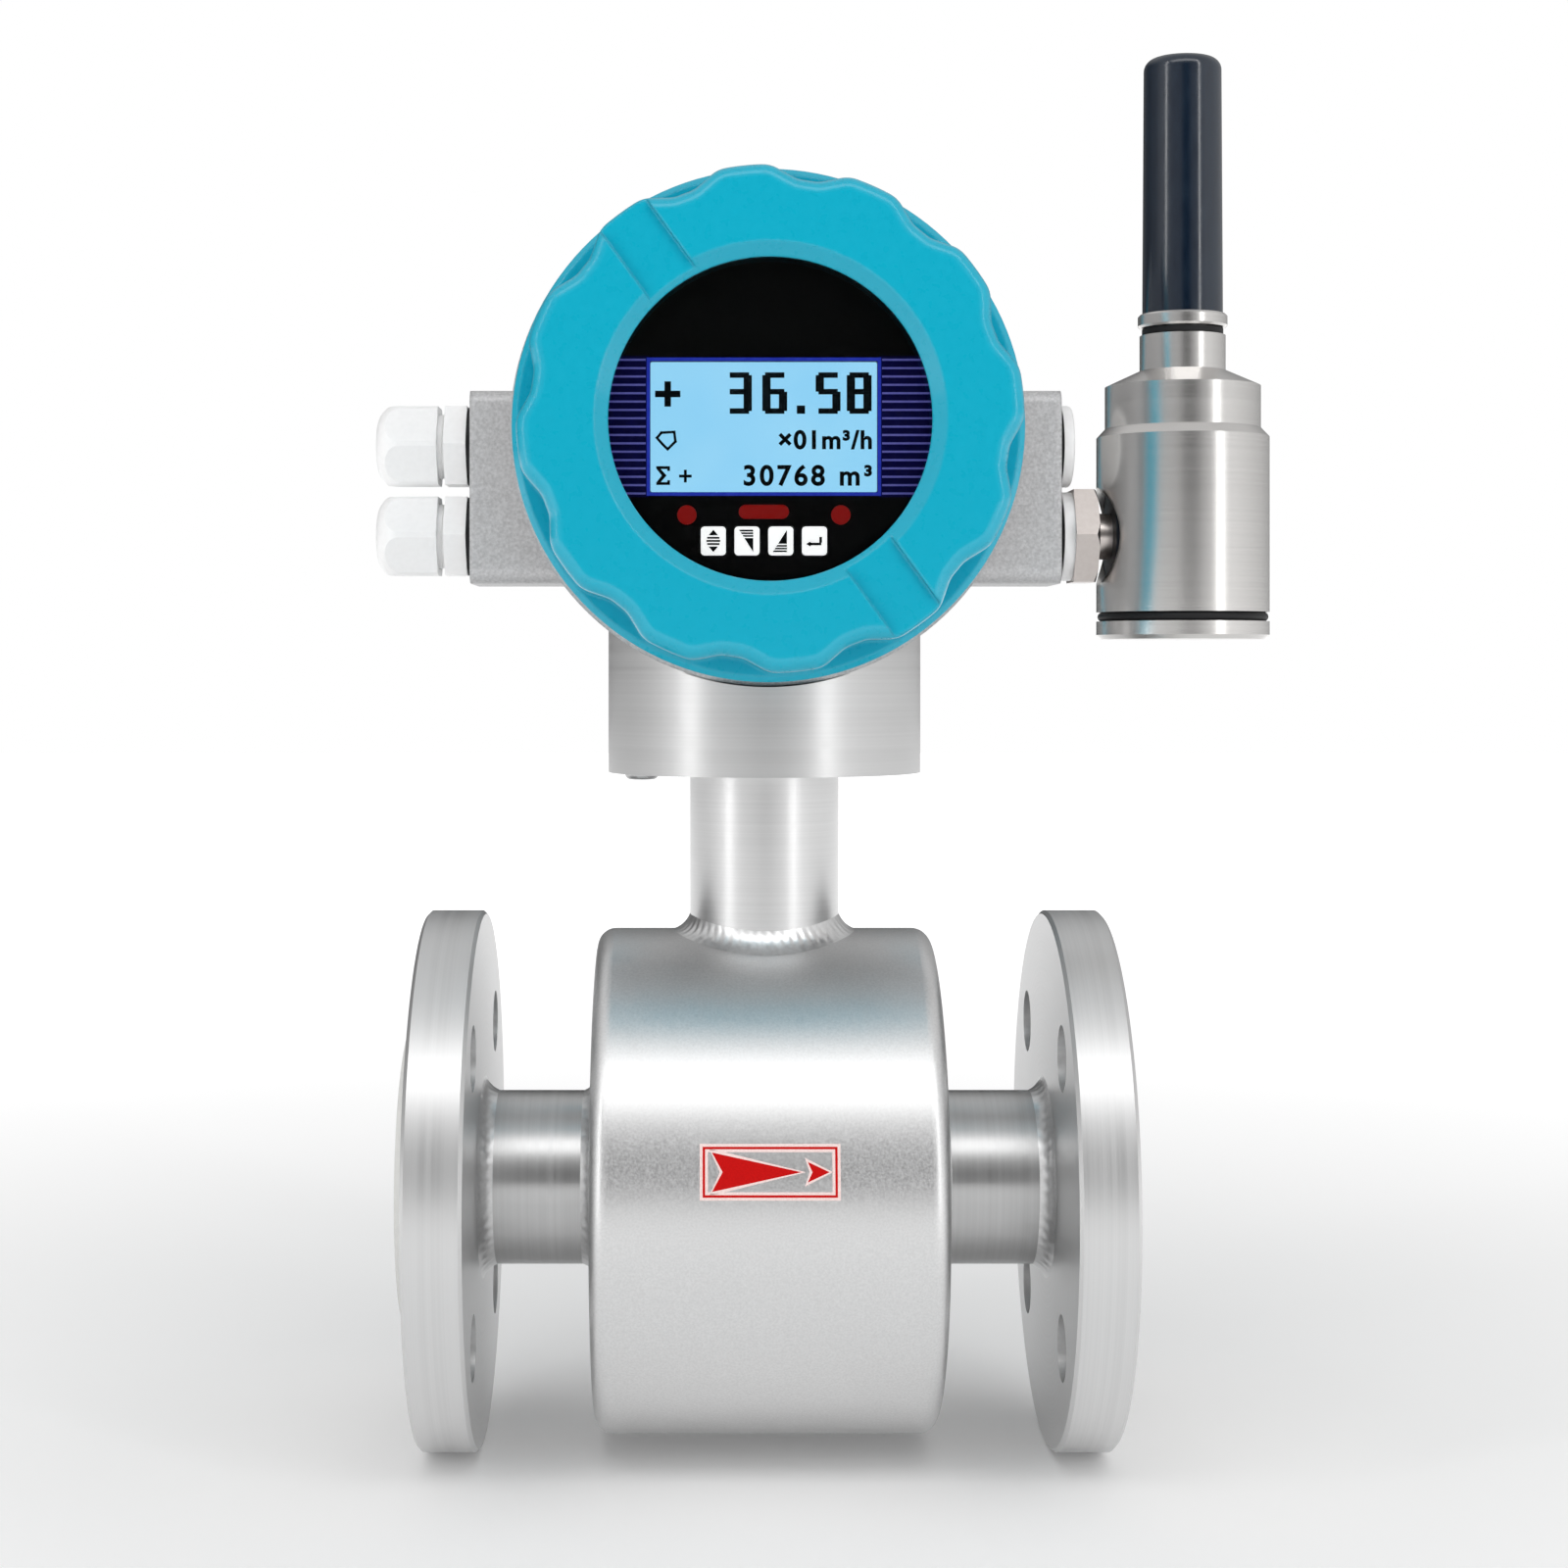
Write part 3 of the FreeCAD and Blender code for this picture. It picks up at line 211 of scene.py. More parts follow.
def grain(tree, per_mm, detail=2.0, stretch=(1, 1, 1)):
    """Noise on the piece's own coordinates, with so many cells to a millimetre. Grit and pigment are
    finer than that in the real finishes; their grain is drawn as coarse as it needs to show."""
    here = put(tree, "ShaderNodeTexCoord").outputs["Object"]
    spread = put(tree, "ShaderNodeMapping", {"Vector": here, "Scale": stretch}).outputs[0]
    settings = {"Vector": spread, "Scale": 1000 * per_mm, "Detail": detail}
    return put(tree, "ShaderNodeTexNoise", settings).outputs["Fac"]


def vary(tree, shader, pattern, tones=None, roughness=None, bump=None):
    """Lets a pattern drive the shader's colour between two tones, its roughness between two values,
    and its bump, given as strength and depth in millimetres."""
    if tones:
        ramp = put(tree, "ShaderNodeValToRGB", {0: pattern}, stops=((0.3, tones[0]), (0.7, tones[1])))
        tree.links.new(ramp.outputs[0], shader.inputs["Base Color"])
    if roughness:
        limits = {"Value": pattern, "From Min": 0.3, "From Max": 0.7}
        limits |= {"To Min": roughness[0], "To Max": roughness[1]}
        tree.links.new(put(tree, "ShaderNodeMapRange", limits).outputs[0], shader.inputs["Roughness"])
    if bump:
        strength, depth = bump
        settings = {"Strength": strength, "Distance": depth * mm, "Height": pattern}
        tree.links.new(put(tree, "ShaderNodeBump", settings).outputs["Normal"], shader.inputs["Normal"])


def turned_steel(name, axis, per_mm, tones, roughness, relief, centre=(0, 0, 0)):
    """Stainless steel from the lathe: grey-white, with soft streaks that follow the turning."""
    material, tree, shader = finish(name, {"Metallic": 1.0})
    vary(tree, shader, rings(tree, axis, centre, per_mm), tones, roughness, (0.15, relief))
    return material


def dress(names, material):
    """Gives CAD nodes their finish."""
    for name in names.split():
        for place in nodes[name].material_slots:
            place.material = material


flange_steel = turned_steel("turned stainless flange", "X", 1.1, ("D8D8D8", "E0E0E0"), (0.38, 0.44), 0.003)
dress("inlet_flange outlet_flange", flange_steel)
tube_steel = turned_steel("drawn stainless tube", "X", 0.8, ("C0C0C0", "CACACA"), (0.3, 0.36), 0.003)
dress("measuring_tube", tube_steel)

# Liner. White fluoropolymer, moulded through the tube and flared over both raised faces, where the
# pipe's own flanges will clamp it. The electrodes' insulators are of the same.


def moulded_ptfe():
    """PTFE: dull chalk white with a waxy depth and almost no gloss."""
    depth = 2.0 * mm
    constants = {"Subsurface Weight": 0.2, "Subsurface Scale": 0.5}
    constants["Subsurface Radius"] = (depth, depth, depth)
    material, tree, shader = finish("moulded PTFE", constants)
    vary(tree, shader, grain(tree, 0.3), ("EAEAE7", "EFEFEC"), (0.5, 0.6), (0.1, 0.02))
    return material


ptfe = moulded_ptfe()
dress("tube_liner electrode_insulators", ptfe)

# Coil drum. A rolled stainless shell between two pressed end plates, polished to an even satin
# that shows a faint speckle from the abrasive.


def satin_steel():
    """Satin stainless: broad soft reflections, broken by a very fine speckle."""
    material, tree, shader = finish("satin stainless drum", {"Metallic": 1.0})
    speckle = grain(tree, 1.6, 3.0)
    vary(tree, shader, speckle, ("DADADA", "E6E6E6"), (0.34, 0.44), (0.1, 0.008))
    return material


drum_steel = satin_steel()
dress("coil_drum_shell drum_inlet_end drum_outlet_end", drum_steel)

# Neck. Stainless tube, welded upright on the drum and machined to its swivel spigot at the top, with
# horizontal tool lines.

neck_steel = turned_steel("turned stainless neck", "Z", 1.3, ("CCCCCC", "D4D4D4"), (0.3, 0.36), 0.002)
dress("neck_tube swivel_flange", neck_steel)

# Welds. Fillet beads laid by hand round the neck and round both ends of the tube, as rows of
# overlapping crescents, left bright.


def new_piece(name, mesh, body, material=None, crease=35):
    """Puts a finished mesh in the scene on a body, smooth up to the crease angle."""
    if material:
        mesh.materials.append(material)
    mesh.shade_smooth()
    mesh.set_sharp_from_angle(angle=radians(crease))
    piece = bpy.data.objects.new(name, mesh)
    bpy.context.scene.collection.objects.link(piece)
    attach(piece, body)
    return piece


def bead(section, ripples, height):
    """Points and faces of a closed bead. section(angle) gives its two toes and, between them, its
    root; the bead's face bulges a little, and each ripple across it sweeps back at both toes."""
    around = ripples * 8
    across = 8
    fullness, sweep = 0.45, 0.55
    points = []
    for j in range(around):
        angle = 2 * pi * j / around
        toe, root, heel = section(angle)
        outward = ((toe + heel) / 2 - root).normalized()
        control = root.lerp((toe + heel) / 2, fullness)
        wander = 1 + 0.25 * sin(5 * angle + 1) + 0.15 * sin(11 * angle)
        for k in range(across + 1):
            t = k / across
            curve = toe.lerp(control, t).lerp(control.lerp(heel, t), t)
            crescent = ripples * j / around + sweep * (2 * t - 1) ** 2
            lift = height * wander * (0.5 + 0.5 * cos(2 * pi * crescent)) * 4 * t * (1 - t)
            points.append(curve + outward * lift)
        points.append(root - outward * 0.3 * mm)
    ring = across + 2
    faces = []
    for j in range(around):
        for k in range(ring):
            here, there = j * ring, (j + 1) % around * ring
            faces.append((here + k, here + (k + 1) % ring, there + (k + 1) % ring, there + k))
    return points, faces


def mesh_from(shape, name):
    """The mesh of a bmesh made of closed shells, with its normals turned outwards."""
    bmesh.ops.recalc_face_normals(shape, faces=shape.faces[:])
    mesh = bpy.data.meshes.new(name)
    shape.to_mesh(mesh)
    shape.free()
    return mesh


def bead_mesh(name, beads):
    """One mesh of several beads."""
    shape = bmesh.new()
    for points, faces in beads:
        made = [shape.verts.new(point) for point in points]
        for face in faces:
            shape.faces.new([made[k] for k in face])
    return mesh_from(shape, name)


def bright_weld():
    """Weld metal: smoother and brighter than the plate beside it, with a little blur."""
    material, tree, shader = finish("bright stainless weld", {"Metallic": 1.0})
    vary(tree, shader, grain(tree, 0.9), ("E0E0E0", "ECECEC"), (0.28, 0.36), (0.1, 0.01))
    return material


def neck_weld():
    """The bead round the neck's foot, which rides up and down with the drum's curve."""
    neck_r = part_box("neck_tube")[1].x
    drum_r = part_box("coil_drum_shell")[1].z
    leg = 4.6 * mm

    def section(angle):
        def on_drum(r):
            return Vector((r * cos(angle), r * sin(angle), sqrt(drum_r**2 - (r * sin(angle)) ** 2)))

        root = on_drum(neck_r)
        return root + Vector((0, 0, leg)), root, on_drum(neck_r + leg)

    return bead(section, 54, 0.16 * mm)


def tube_weld(face_x, towards):
    """A bead between the tube and an upright face, on the side of the face that towards points to."""
    tube_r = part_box("measuring_tube")[1].y
    leg = 4.0 * mm

    def section(angle):
        radial = Vector((0, cos(angle), sin(angle)))
        root = radial * tube_r + Vector((face_x, 0, 0))
        return root + Vector((towards * leg, 0, 0)), root, root + radial * leg

    return bead(section, 44, 0.16 * mm)


weld_metal = bright_weld()
neck_bead = new_piece("neck_weld", bead_mesh("neck_weld", [neck_weld()]), "root", weld_metal, 60)
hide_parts("neck_weld_bead")
flange_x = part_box("outlet_flange")[0].x
drum_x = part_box("drum_outlet_end")[1].x
tube_ends = []
for side in (-1, 1):
    tube_ends += [tube_weld(side * flange_x, -side), tube_weld(side * drum_x, side)]
tube_beads = new_piece("tube_welds", bead_mesh("tube_welds", tube_ends), "root", weld_metal, 60)
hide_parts("tube_weld_beads")

# Flow arrow. A long red dart and a short one in a thin red frame, printed on the drum over a pale
# ground that shows round every edge.


def add_prism(shape, low, high):
    """Closes two like rings of points into a solid, with a face on each and a wall between them."""
    foot = [shape.verts.new(point) for point in low]
    head = [shape.verts.new(point) for point in high]
    shape.faces.new(foot)
    shape.faces.new(head)
    for k in range(len(foot)):
        after = (k + 1) % len(foot)
        shape.faces.new((foot[k], foot[after], head[after], head[k]))


def film(name, outlines, wrap, thickness, bands=()):
    """A thin printed film: closed flat outlines, cut across at the bands so that it can bend, and
    laid on a surface by wrap(x, s, height)."""
    shape = bmesh.new()
    for outline in outlines:
        add_prism(shape, [(x, s, 0) for x, s in outline], [(x, s, thickness) for x, s in outline])
    for s in bands:
        everything = shape.verts[:] + shape.edges[:] + shape.faces[:]
        bmesh.ops.bisect_plane(shape, geom=everything, plane_co=(0, s, 0), plane_no=(0, 1, 0))
    for vertex in shape.verts:
        vertex.co = wrap(*vertex.co)
    return mesh_from(shape, name)


def mitred_frame(width, height, line):
    """Four bars of a frame, mitred at its corners, centred on the origin."""
    corners = [(-1, -1), (1, -1), (1, 1), (-1, 1)]
    outer = [(x * width / 2, z * height / 2) for x, z in corners]
    inner = [(x * (width / 2 - line), z * (height / 2 - line)) for x, z in corners]
    bars = []
    for k in range(4):
        after = (k + 1) % 4
        bars.append([outer[k], outer[after], inner[after], inner[k]])
    return bars


def dart(tail, tip, half_height, notch):
    """An arrow head from tail to tip, with a notch cut into its tail."""
    return [(tail, half_height), (tail + notch, 0), (tail, -half_height), (tip, 0)]


def screen_ink(name, tone, other):
    """Screen-printed ink: flat colour with a little unevenness, and an almost dead surface."""
    material, tree, shader = finish(name, {"Roughness": 0.45, "Specular IOR Level": 0.15})
    vary(tree, shader, grain(tree, 2.2), (tone, other), None, (0.08, 0.01))
    return material


def flow_arrow():
    """The arrow's two inks; the red lies on the pale and stands higher, so that both show."""
    drum_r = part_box("coil_drum_shell")[1].z
    rise = 14.1 * mm / drum_r
    width, height, line = 34.8 * mm, 12.9 * mm, 0.62 * mm
    halo = 0.75 * mm
    pale_ink = screen_ink("pale printed ground", "F2D4D0", "FAE6E2")
    red_ink = screen_ink("red screen-printed arrow", "C00404", "CC0806")

    def wrap(x, s, lift):
        angle = rise + s / drum_r
        return Vector((x, -(drum_r + lift) * cos(angle), (drum_r + lift) * sin(angle)))

    def darts(grow):
        long_dart = dart(-15.0 * mm - grow, 8.0 * mm + 1.6 * grow, 5.0 * mm + 1.4 * grow, 2.75 * mm)
        short_dart = dart(9.7 * mm - grow, 15.3 * mm + 1.2 * grow, 2.6 * mm + 1.4 * grow, 1.2 * mm)
        return [long_dart, short_dart]

    bands = [k * 0.5 * mm for k in range(-16, 17)]
    pale = mitred_frame(width + 2 * halo, height + 2 * halo, line + 2 * halo) + darts(halo)
    red = mitred_frame(width, height, line) + darts(0)
    ground = film("flow_arrow_ground", pale, wrap, 0.03 * mm, bands)
    new_piece("flow_arrow_ground", ground, "root", pale_ink)
    arrow = film("flow_arrow", red, wrap, 0.06 * mm, bands)
    new_piece("flow_arrow", arrow, "root", red_ink)


flow_arrow()

# Magnet and electrodes, sealed in the drum. Enamelled copper windings on laminated cores, a rolled
# steel yoke round them, and two polished electrodes clamped through the tube's wall.


def layers(tree, direction, scale, distortion=0.0):
    """Light and dark bands across a direction, 20 * scale / (2 pi) of each to a metre."""
    here = put(tree, "ShaderNodeTexCoord").outputs["Object"]
    settings = {"Vector": here, "Scale": scale, "Distortion": distortion}
    return put(tree, "ShaderNodeTexWave", settings, bands_direction=direction).outputs["Fac"]


def wound_copper():
    """Enamelled copper wire laid in rows: shiny amber ridges, with dark lines between them painted in as the
    shade of the grooves.
    """
    material, tree, shader = finish("wound enamelled copper", {"Metallic": 1.0})
    rows = layers(tree, "Z", 260.0, 0.4)
    # Painted shade: the dark brown of the bands stands for shade between the rows of wire.
    vary(tree, shader, rows, ("7A3412", "D88A50"), (0.5, 0.22), (0.6, 0.2))
    return material


def core_steel(name, direction, scale):
    """Electrical steel: matt grey sheets whose edges show as fine parallel lines."""
    material, tree, shader = finish(name, {"Metallic": 0.9})
    sheets = layers(tree, direction, scale)
    vary(tree, shader, sheets, ("5C6064", "8A8E92"), (0.5, 0.38), (0.3, 0.05))
    return material


dress("saddle_coils", wound_copper())
dress("magnet_poles", core_steel("laminated core", "Y", 300.0))
dress("return_yoke", core_steel("rolled yoke strip", "X", 40.0))
electrode_steel = turned_steel("polished electrode", "Y", 2.0, ("CCCCCA", "E0E0DE"), (0.1, 0.2), 0.004)
dress("electrodes electrode_nuts", electrode_steel)

# Collar and lock screw. A turned stainless cup that swivels on the neck's spigot, saddle-cut at its
# top to the barrel, with a pan-head screw in its floor.

collar_steel = turned_steel("turned stainless collar", "Z", 0.9, ("C2C2C2", "CACACA"), (0.32, 0.38), 0.002)
dress("collar lock_screw", collar_steel)

# Housing. Die-cast aluminium with its boss on each side, sprayed with a silver-grey powder that
# dries to a fine pebbled grain.


def round_edges(tree, shader, radius):
    """Lets light fall on a piece's outer edges as if they were rounded, as paint leaves them."""
    relief = shader.inputs["Normal"].links[0].from_node
    soft = put(tree, "ShaderNodeBevel", {"Radius": radius * mm}, samples=6).outputs[0]
    tree.links.new(soft, relief.inputs["Normal"])
    tree.links.new(relief.outputs[0], shader.inputs["Coat Normal"])


def silver_powder():
    """Silver powder paint: pale warm grey with small flakes and a soft, grainy sheen."""
    material, tree, shader = finish("silver powder paint", {"Metallic": 0.35, "Specular IOR Level": 0.4})
    vary(tree, shader, grain(tree, 1.3, 4.0), ("B4B4B5", "D0D0D1"), (0.4, 0.52), (0.3, 0.05))
    round_edges(tree, shader, 2.4)
    return material


dress("housing", silver_powder())

# Threads. One-start threads on the spigots of the casting, the glands, the plug, the module's cap
# and the antenna's ferrule; they show when a piece is screwed out.


def new_tree(name, sockets):
    """A geometry tree with an input for each (name, kind) and a geometry output, and its inputs."""
    tree = bpy.data.node_groups.new(name, "GeometryNodeTree")
    for label, kind in sockets:
        tree.interface.new_socket(label, in_out="INPUT", socket_type=f"NodeSocket{kind}")
    tree.interface.new_socket("Geometry", in_out="OUTPUT", socket_type="NodeSocketGeometry")
    return tree, put(tree, "NodeGroupInput").outputs


def end_tree(tree, geometry, material):
    """Ends a tree with its instances made real and all of it in one material."""
    real = put(tree, "GeometryNodeRealizeInstances", {0: geometry}).outputs[0]
    dressed = put(tree, "GeometryNodeSetMaterial", {"Geometry": real, "Material": material})
    put(tree, "NodeGroupOutput", {0: dressed.outputs[0]})


def thread_tree():
    """The ridge of a thread: a rounded bar on a spiral that climbs from the origin along +Z."""
    sockets = [(name, "Float") for name in ("Radius", "Pitch", "Turns", "Depth")]
    tree, given = new_tree("thread", sockets + [("Steps", "Int"), ("Material", "Material")])
    product = {0: given["Pitch"], 1: given["Turns"]}
    climb = put(tree, "ShaderNodeMath", product, operation="MULTIPLY").outputs[0]
    turns = {"Resolution": given["Steps"], "Rotations": given["Turns"], "Height": climb}
    radii = {"Start Radius": given["Radius"], "End Radius": given["Radius"]}
    spiral = put(tree, "GeometryNodeCurveSpiral", turns | radii).outputs[0]
    circle = {"Resolution": 6, "Radius": given["Depth"]}
    section = put(tree, "GeometryNodeCurvePrimitiveCircle", circle).outputs[0]
    sweep = {"Curve": spiral, "Profile Curve": section, "Fill Caps": True}
    end_tree(tree, put(tree, "GeometryNodeCurveToMesh", sweep).outputs[0], given["Material"])
    return tree


def grown(name, tree, values):
    """The plain mesh that a geometry tree makes from values for its named inputs."""
    holder = bpy.data.objects.new(name, bpy.data.meshes.new(name))
    bpy.context.scene.collection.objects.link(holder)
    modifier = holder.modifiers.new(name, "NODES")
    modifier.node_group = tree
    for item in tree.interface.items_tree:
        if item.in_out == "INPUT" and item.name in values:
            modifier[item.identifier] = values[item.name]
    bpy.context.view_layer.update()
    graph = bpy.context.evaluated_depsgraph_get()
    mesh = bpy.data.meshes.new_from_object(holder.evaluated_get(graph))
    mesh.name = name
    holder.modifiers.remove(modifier)
    bpy.data.objects.remove(holder)
    return mesh


thread = thread_tree()


def add_thread(name, body, material, start, along, size):
    """A thread from start along a direction; its size is its length, its spigot's radius and its pitch."""
    length, radius, pitch = size
    values = {"Radius": radius, "Pitch": pitch, "Turns": length / pitch, "Depth": 0.26 * mm}
    values |= {"Steps": 96 if radius > 30 * mm else 48, "Material": material}
    mesh = grown(name, thread, values)
    turn = Vector((0, 0, 1)).rotation_difference(Vector(along)).to_matrix().to_4x4()
    mesh.transform(Matrix.Translation(start) @ turn)
    new_piece(name, mesh, body, crease=75)


def bare_aluminium():
    """Machined aluminium: slightly warm, pale and satin."""
    material, tree, shader = finish("machined aluminium", {"Metallic": 1.0})
    vary(tree, shader, grain(tree, 1.2), ("C2C3C4", "DADBDC"), (0.24, 0.36), (0.1, 0.01))
    return material


aluminium = bare_aluminium()
head_z = (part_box("front_cover")[0].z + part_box("front_cover")[1].z) / 2
spigot_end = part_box("housing")[1].y
spigot_thread = (12.0 * mm, 59.0 * mm, 2.0 * mm)
for side, way in ((-1, "front"), (1, "rear")):
    foot = (0, side * (spigot_end - 13.0 * mm), head_z)
    add_thread(f"{way}_spigot_thread", "head", aluminium, foot, (0, side, 0), spigot_thread)

# Screwed covers. Die-cast aluminium with lobes for the grip and a channel for a bar, sprayed with
# a cyan-blue powder that levels to an almost smooth, satin coat. They close on rings of nitrile
# rubber, and the same rubber seals the window, the ports and the radio module.


def blue_powder():
    """Cyan-blue powder paint: satin, with the shallow dimples of orange peel."""
    constants = {"Specular IOR Level": 0.2, "Coat Weight": 0.6, "Coat Roughness": 0.1}
    material, tree, shader = finish("cyan-blue powder paint", constants)
    vary(tree, shader, grain(tree, 0.4, 2.0), ("07A5C0", "09A8C3"), (0.26, 0.32), (0.06, 0.01))
    round_edges(tree, shader, 1.1)
    return material


dress("front_cover rear_cover", blue_powder())


def black_rubber():
    """Nitrile rubber: near black, dull, with a faint bloom."""
    material, tree, shader = finish("black nitrile rubber", {"Specular IOR Level": 0.35})
    vary(tree, shader, grain(tree, 0.8), ("0B0B0C", "17171A"), (0.5, 0.66), (0.15, 0.02))
    return material


rubber = black_rubber()
dress("front_cover_seal rear_cover_seal window_gasket port_seals", rubber)
dress("blanking_plug_seal module_cap_seal antenna_seal", rubber)

# Window. A disc of toughened glass, bedded on a rubber gasket and held from behind by a threaded
# aluminium ring.


def clear_glass():
    """Toughened glass: clear and smooth, with a trace of green in its edge."""
    constants = {"Transmission Weight": 1.0, "Roughness": 0.0, "IOR": 1.5, "Specular IOR Level": 0.25}
    material, tree, shader = finish("toughened glass", constants)
    vary(tree, shader, grain(tree, 0.02), ("FCFFFD", "FFFFFF"))
    return material


dress("window_glass", clear_glass())
dress("glass_ring", aluminium)

# Display. A black printed plate behind the glass, with a backlit liquid-crystal pane in its opening,
# ruled blue bands at both sides, red sensor eyes, and four keys that stand through it.


def lit_pane():
    """Backlit liquid crystal: an even pale blue glow behind a smooth cover."""
    constants = {"Base Color": linear("0A1418"), "Roughness": 0.3, "Emission Strength": 1.06}
    material, tree, shader = finish("backlit liquid crystal", constants)
    ramp = put(tree, "ShaderNodeValToRGB", {0: grain(tree, 0.05)}, stops=((0.3, "8ED1F6"), (0.7, "96D5F7")))
    tree.links.new(ramp.outputs[0], shader.inputs["Emission Color"])
    return material


def ink(name, tone, other, glow=0.0):
    """Screen-printed ink: flat and slightly uneven; where glow is set, it gives off light of its own tone, a
    painted glow.
    """
    # Painted glow: an ink given glow lights itself, though it is no lamp.
    constants = {"Specular IOR Level": 0.08, "Emission Strength": glow, "Emission Color": linear(tone)}
    material, tree, shader = finish(name, constants)
    vary(tree, shader, grain(tree, 0.7), (tone, other), (0.34, 0.46))
    return material


plate_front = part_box("display_panel")[0].y
pane_low, pane_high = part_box("lcd_module")
rim = 3.5 * mm
pane_x = (pane_low.x + pane_high.x) / 2
pane_z = (pane_low.z + pane_high.z) / 2
pane_w = pane_high.x - pane_low.x - 2 * rim
pane_h = pane_high.z - pane_low.z - 2 * rim
pane_front = pane_low.y + 0.2 * mm


def at_front(y):
    """Lays a flat drawing about the pane's middle on the plane at y, standing towards the viewer."""
    return lambda x, z, lift: Vector((pane_x + x, y - lift, pane_z + z))


def box_outline(width, height, x=0.0, z=0.0):
    """The four corners of a box about a place, from its lower left one."""
    left, right = x - width / 2, x + width / 2
    low, high = z - height / 2, z + height / 2
    return [(left, low), (right, low), (right, high), (left, high)]


plate_black = ink("black printed plate", "020203", "050506")
dress("display_panel lcd_module", plate_black)
pane = film("display_pane", [box_outline(pane_w, pane_h)], at_front(pane_front + 0.4 * mm), 0.4 * mm)
new_piece("display_pane", pane, "head", lit_pane())


def side_bands():
    """The navy bands from the display's frame to the edge of the window, as one outline each."""
    window_r = 42.6 * mm
    high = pane_h / 2 + 1.3 * mm
    bands = []
    for side in (-1, 1):
        inner = side * (pane_w / 2 + 0.4 * mm)
        arc = []
        for k in range(25):
            z = high * (1 - k / 12)
            reach = sqrt(window_r**2 - (pane_z + z - head_z) ** 2)
            arc.append((side * reach - pane_x, z))
        bands.append([(inner, -high), (inner, high)] + arc)
    return bands


def ruling_tree():
    """Thin bars, one above the other, that run from the display's frame out to a circle."""
    sizes = ("Pitch", "Line", "Depth", "Circle", "Drop", "Inner", "Side")
    sockets = [(name, "Float") for name in sizes]
    tree, given = new_tree("ruling", sockets + [("Count", "Int"), ("Material", "Material")])

    def result(kind, first, second=0.0):
        return put(tree, "ShaderNodeMath", {0: first, 1: second}, operation=kind).outputs[0]

    steps = result("SUBTRACT", given["Count"], 1.0)
    low = result("MULTIPLY", result("MULTIPLY", steps, given["Pitch"]), -0.5)
    start = put(tree, "ShaderNodeCombineXYZ", {2: low}).outputs[0]
    step = put(tree, "ShaderNodeCombineXYZ", {2: given["Pitch"]}).outputs[0]
    line = {"Count": given["Count"], "Start Location": start, "Offset": step}
    column = put(tree, "GeometryNodeMeshLine", line).outputs[0]
    place = put(tree, "GeometryNodeInputPosition").outputs[0]
    height = put(tree, "ShaderNodeSeparateXYZ", {0: place}).outputs[2]
    level = result("ADD", height, given["Drop"])
    across = result("SUBTRACT", result("POWER", given["Circle"], 2.0), result("POWER", level, 2.0))
    width = result("SUBTRACT", result("SQRT", across), given["Inner"])
    middle = result("ADD", given["Inner"], result("MULTIPLY", width, 0.5))
    moved = put(tree, "ShaderNodeCombineXYZ", {0: result("MULTIPLY", given["Side"], middle)}).outputs[0]
    spread = put(tree, "GeometryNodeSetPosition", {"Geometry": column, "Offset": moved}).outputs[0]
    bar = put(tree, "GeometryNodeMeshCube", {"Size": (1, 1, 1)}).outputs[0]
    size = put(tree, "ShaderNodeCombineXYZ", {0: width, 1: given["Depth"], 2: given["Line"]}).outputs[0]
    row = {"Points": spread, "Instance": bar, "Scale": size}
    end_tree(tree, put(tree, "GeometryNodeInstanceOnPoints", row).outputs[0], given["Material"])
    return tree


def display_frame():
    """What is printed on the plate round the pane: its border, the bands beside it and their rules."""
    # The border, bands and rules carry a painted glow of their own ink.
    border = ink("blue printed border", "1E2C9C", "2838A8", 0.5)
    line, past = 0.9 * mm, 1.9 * mm
    bars = mitred_frame(pane_w + past, pane_h + past, line)
    mesh = film("display_border", bars, at_front(plate_front), 0.05 * mm)
    new_piece("display_border", mesh, "head", border)
    navy = ink("navy printed band", "000034", "00003C", 0.22)
    mesh = film("display_bands", side_bands(), at_front(plate_front), 0.02 * mm)
    new_piece("display_bands", mesh, "head", navy)
    violet = ink("violet printed rule", "5656A0", "6060A8", 0.35)
    ruling = ruling_tree()
    for side, name in ((-1, "left"), (1, "right")):
        values = {"Count": 17, "Pitch": 2.17 * mm, "Line": 0.55 * mm, "Depth": 0.05 * mm}
        values |= {"Circle": 42.4 * mm, "Drop": pane_z - head_z, "Side": float(side)}
        values |= {"Inner": pane_w / 2 + 1.2 * mm + side * pane_x, "Material": violet}
        mesh = grown(f"display_ruling_{name}", ruling, values)
        mesh.transform(Matrix.Translation((0, plate_front - 0.02 * mm, pane_z)))
        new_piece(f"display_ruling_{name}", mesh, "head")


display_frame()

# Figures of the display. Dark liquid crystal on the pane: the flow in large dots, then its unit and
# the total in small type, with a sign at the left of each line.


def line_of_text(words, size, right, z, spacing):
    """The mesh of a line of text in bold strokes on the pane, with the place of its right end."""
    half_t = 0.02 * mm
    curve = bpy.data.curves.new("words", "FONT")
    curve.body = words
    curve.size = size
    curve.offset = 0.2 * mm
    curve.space_character = spacing
    curve.extrude = half_t
    curve.align_x = "RIGHT"
    holder = bpy.data.objects.new("words", curve)
    bpy.context.scene.collection.objects.link(holder)
    bpy.context.view_layer.update()
    mesh = bpy.data.meshes.new_from_object(holder.evaluated_get(bpy.context.evaluated_depsgraph_get()))
    bpy.data.objects.remove(holder)
    bpy.data.curves.remove(curve)
    place = Matrix.Translation((pane_x + right, pane_front - half_t, pane_z + z))
    mesh.transform(place @ Matrix.Rotation(pi / 2, 4, "X"))
    return mesh


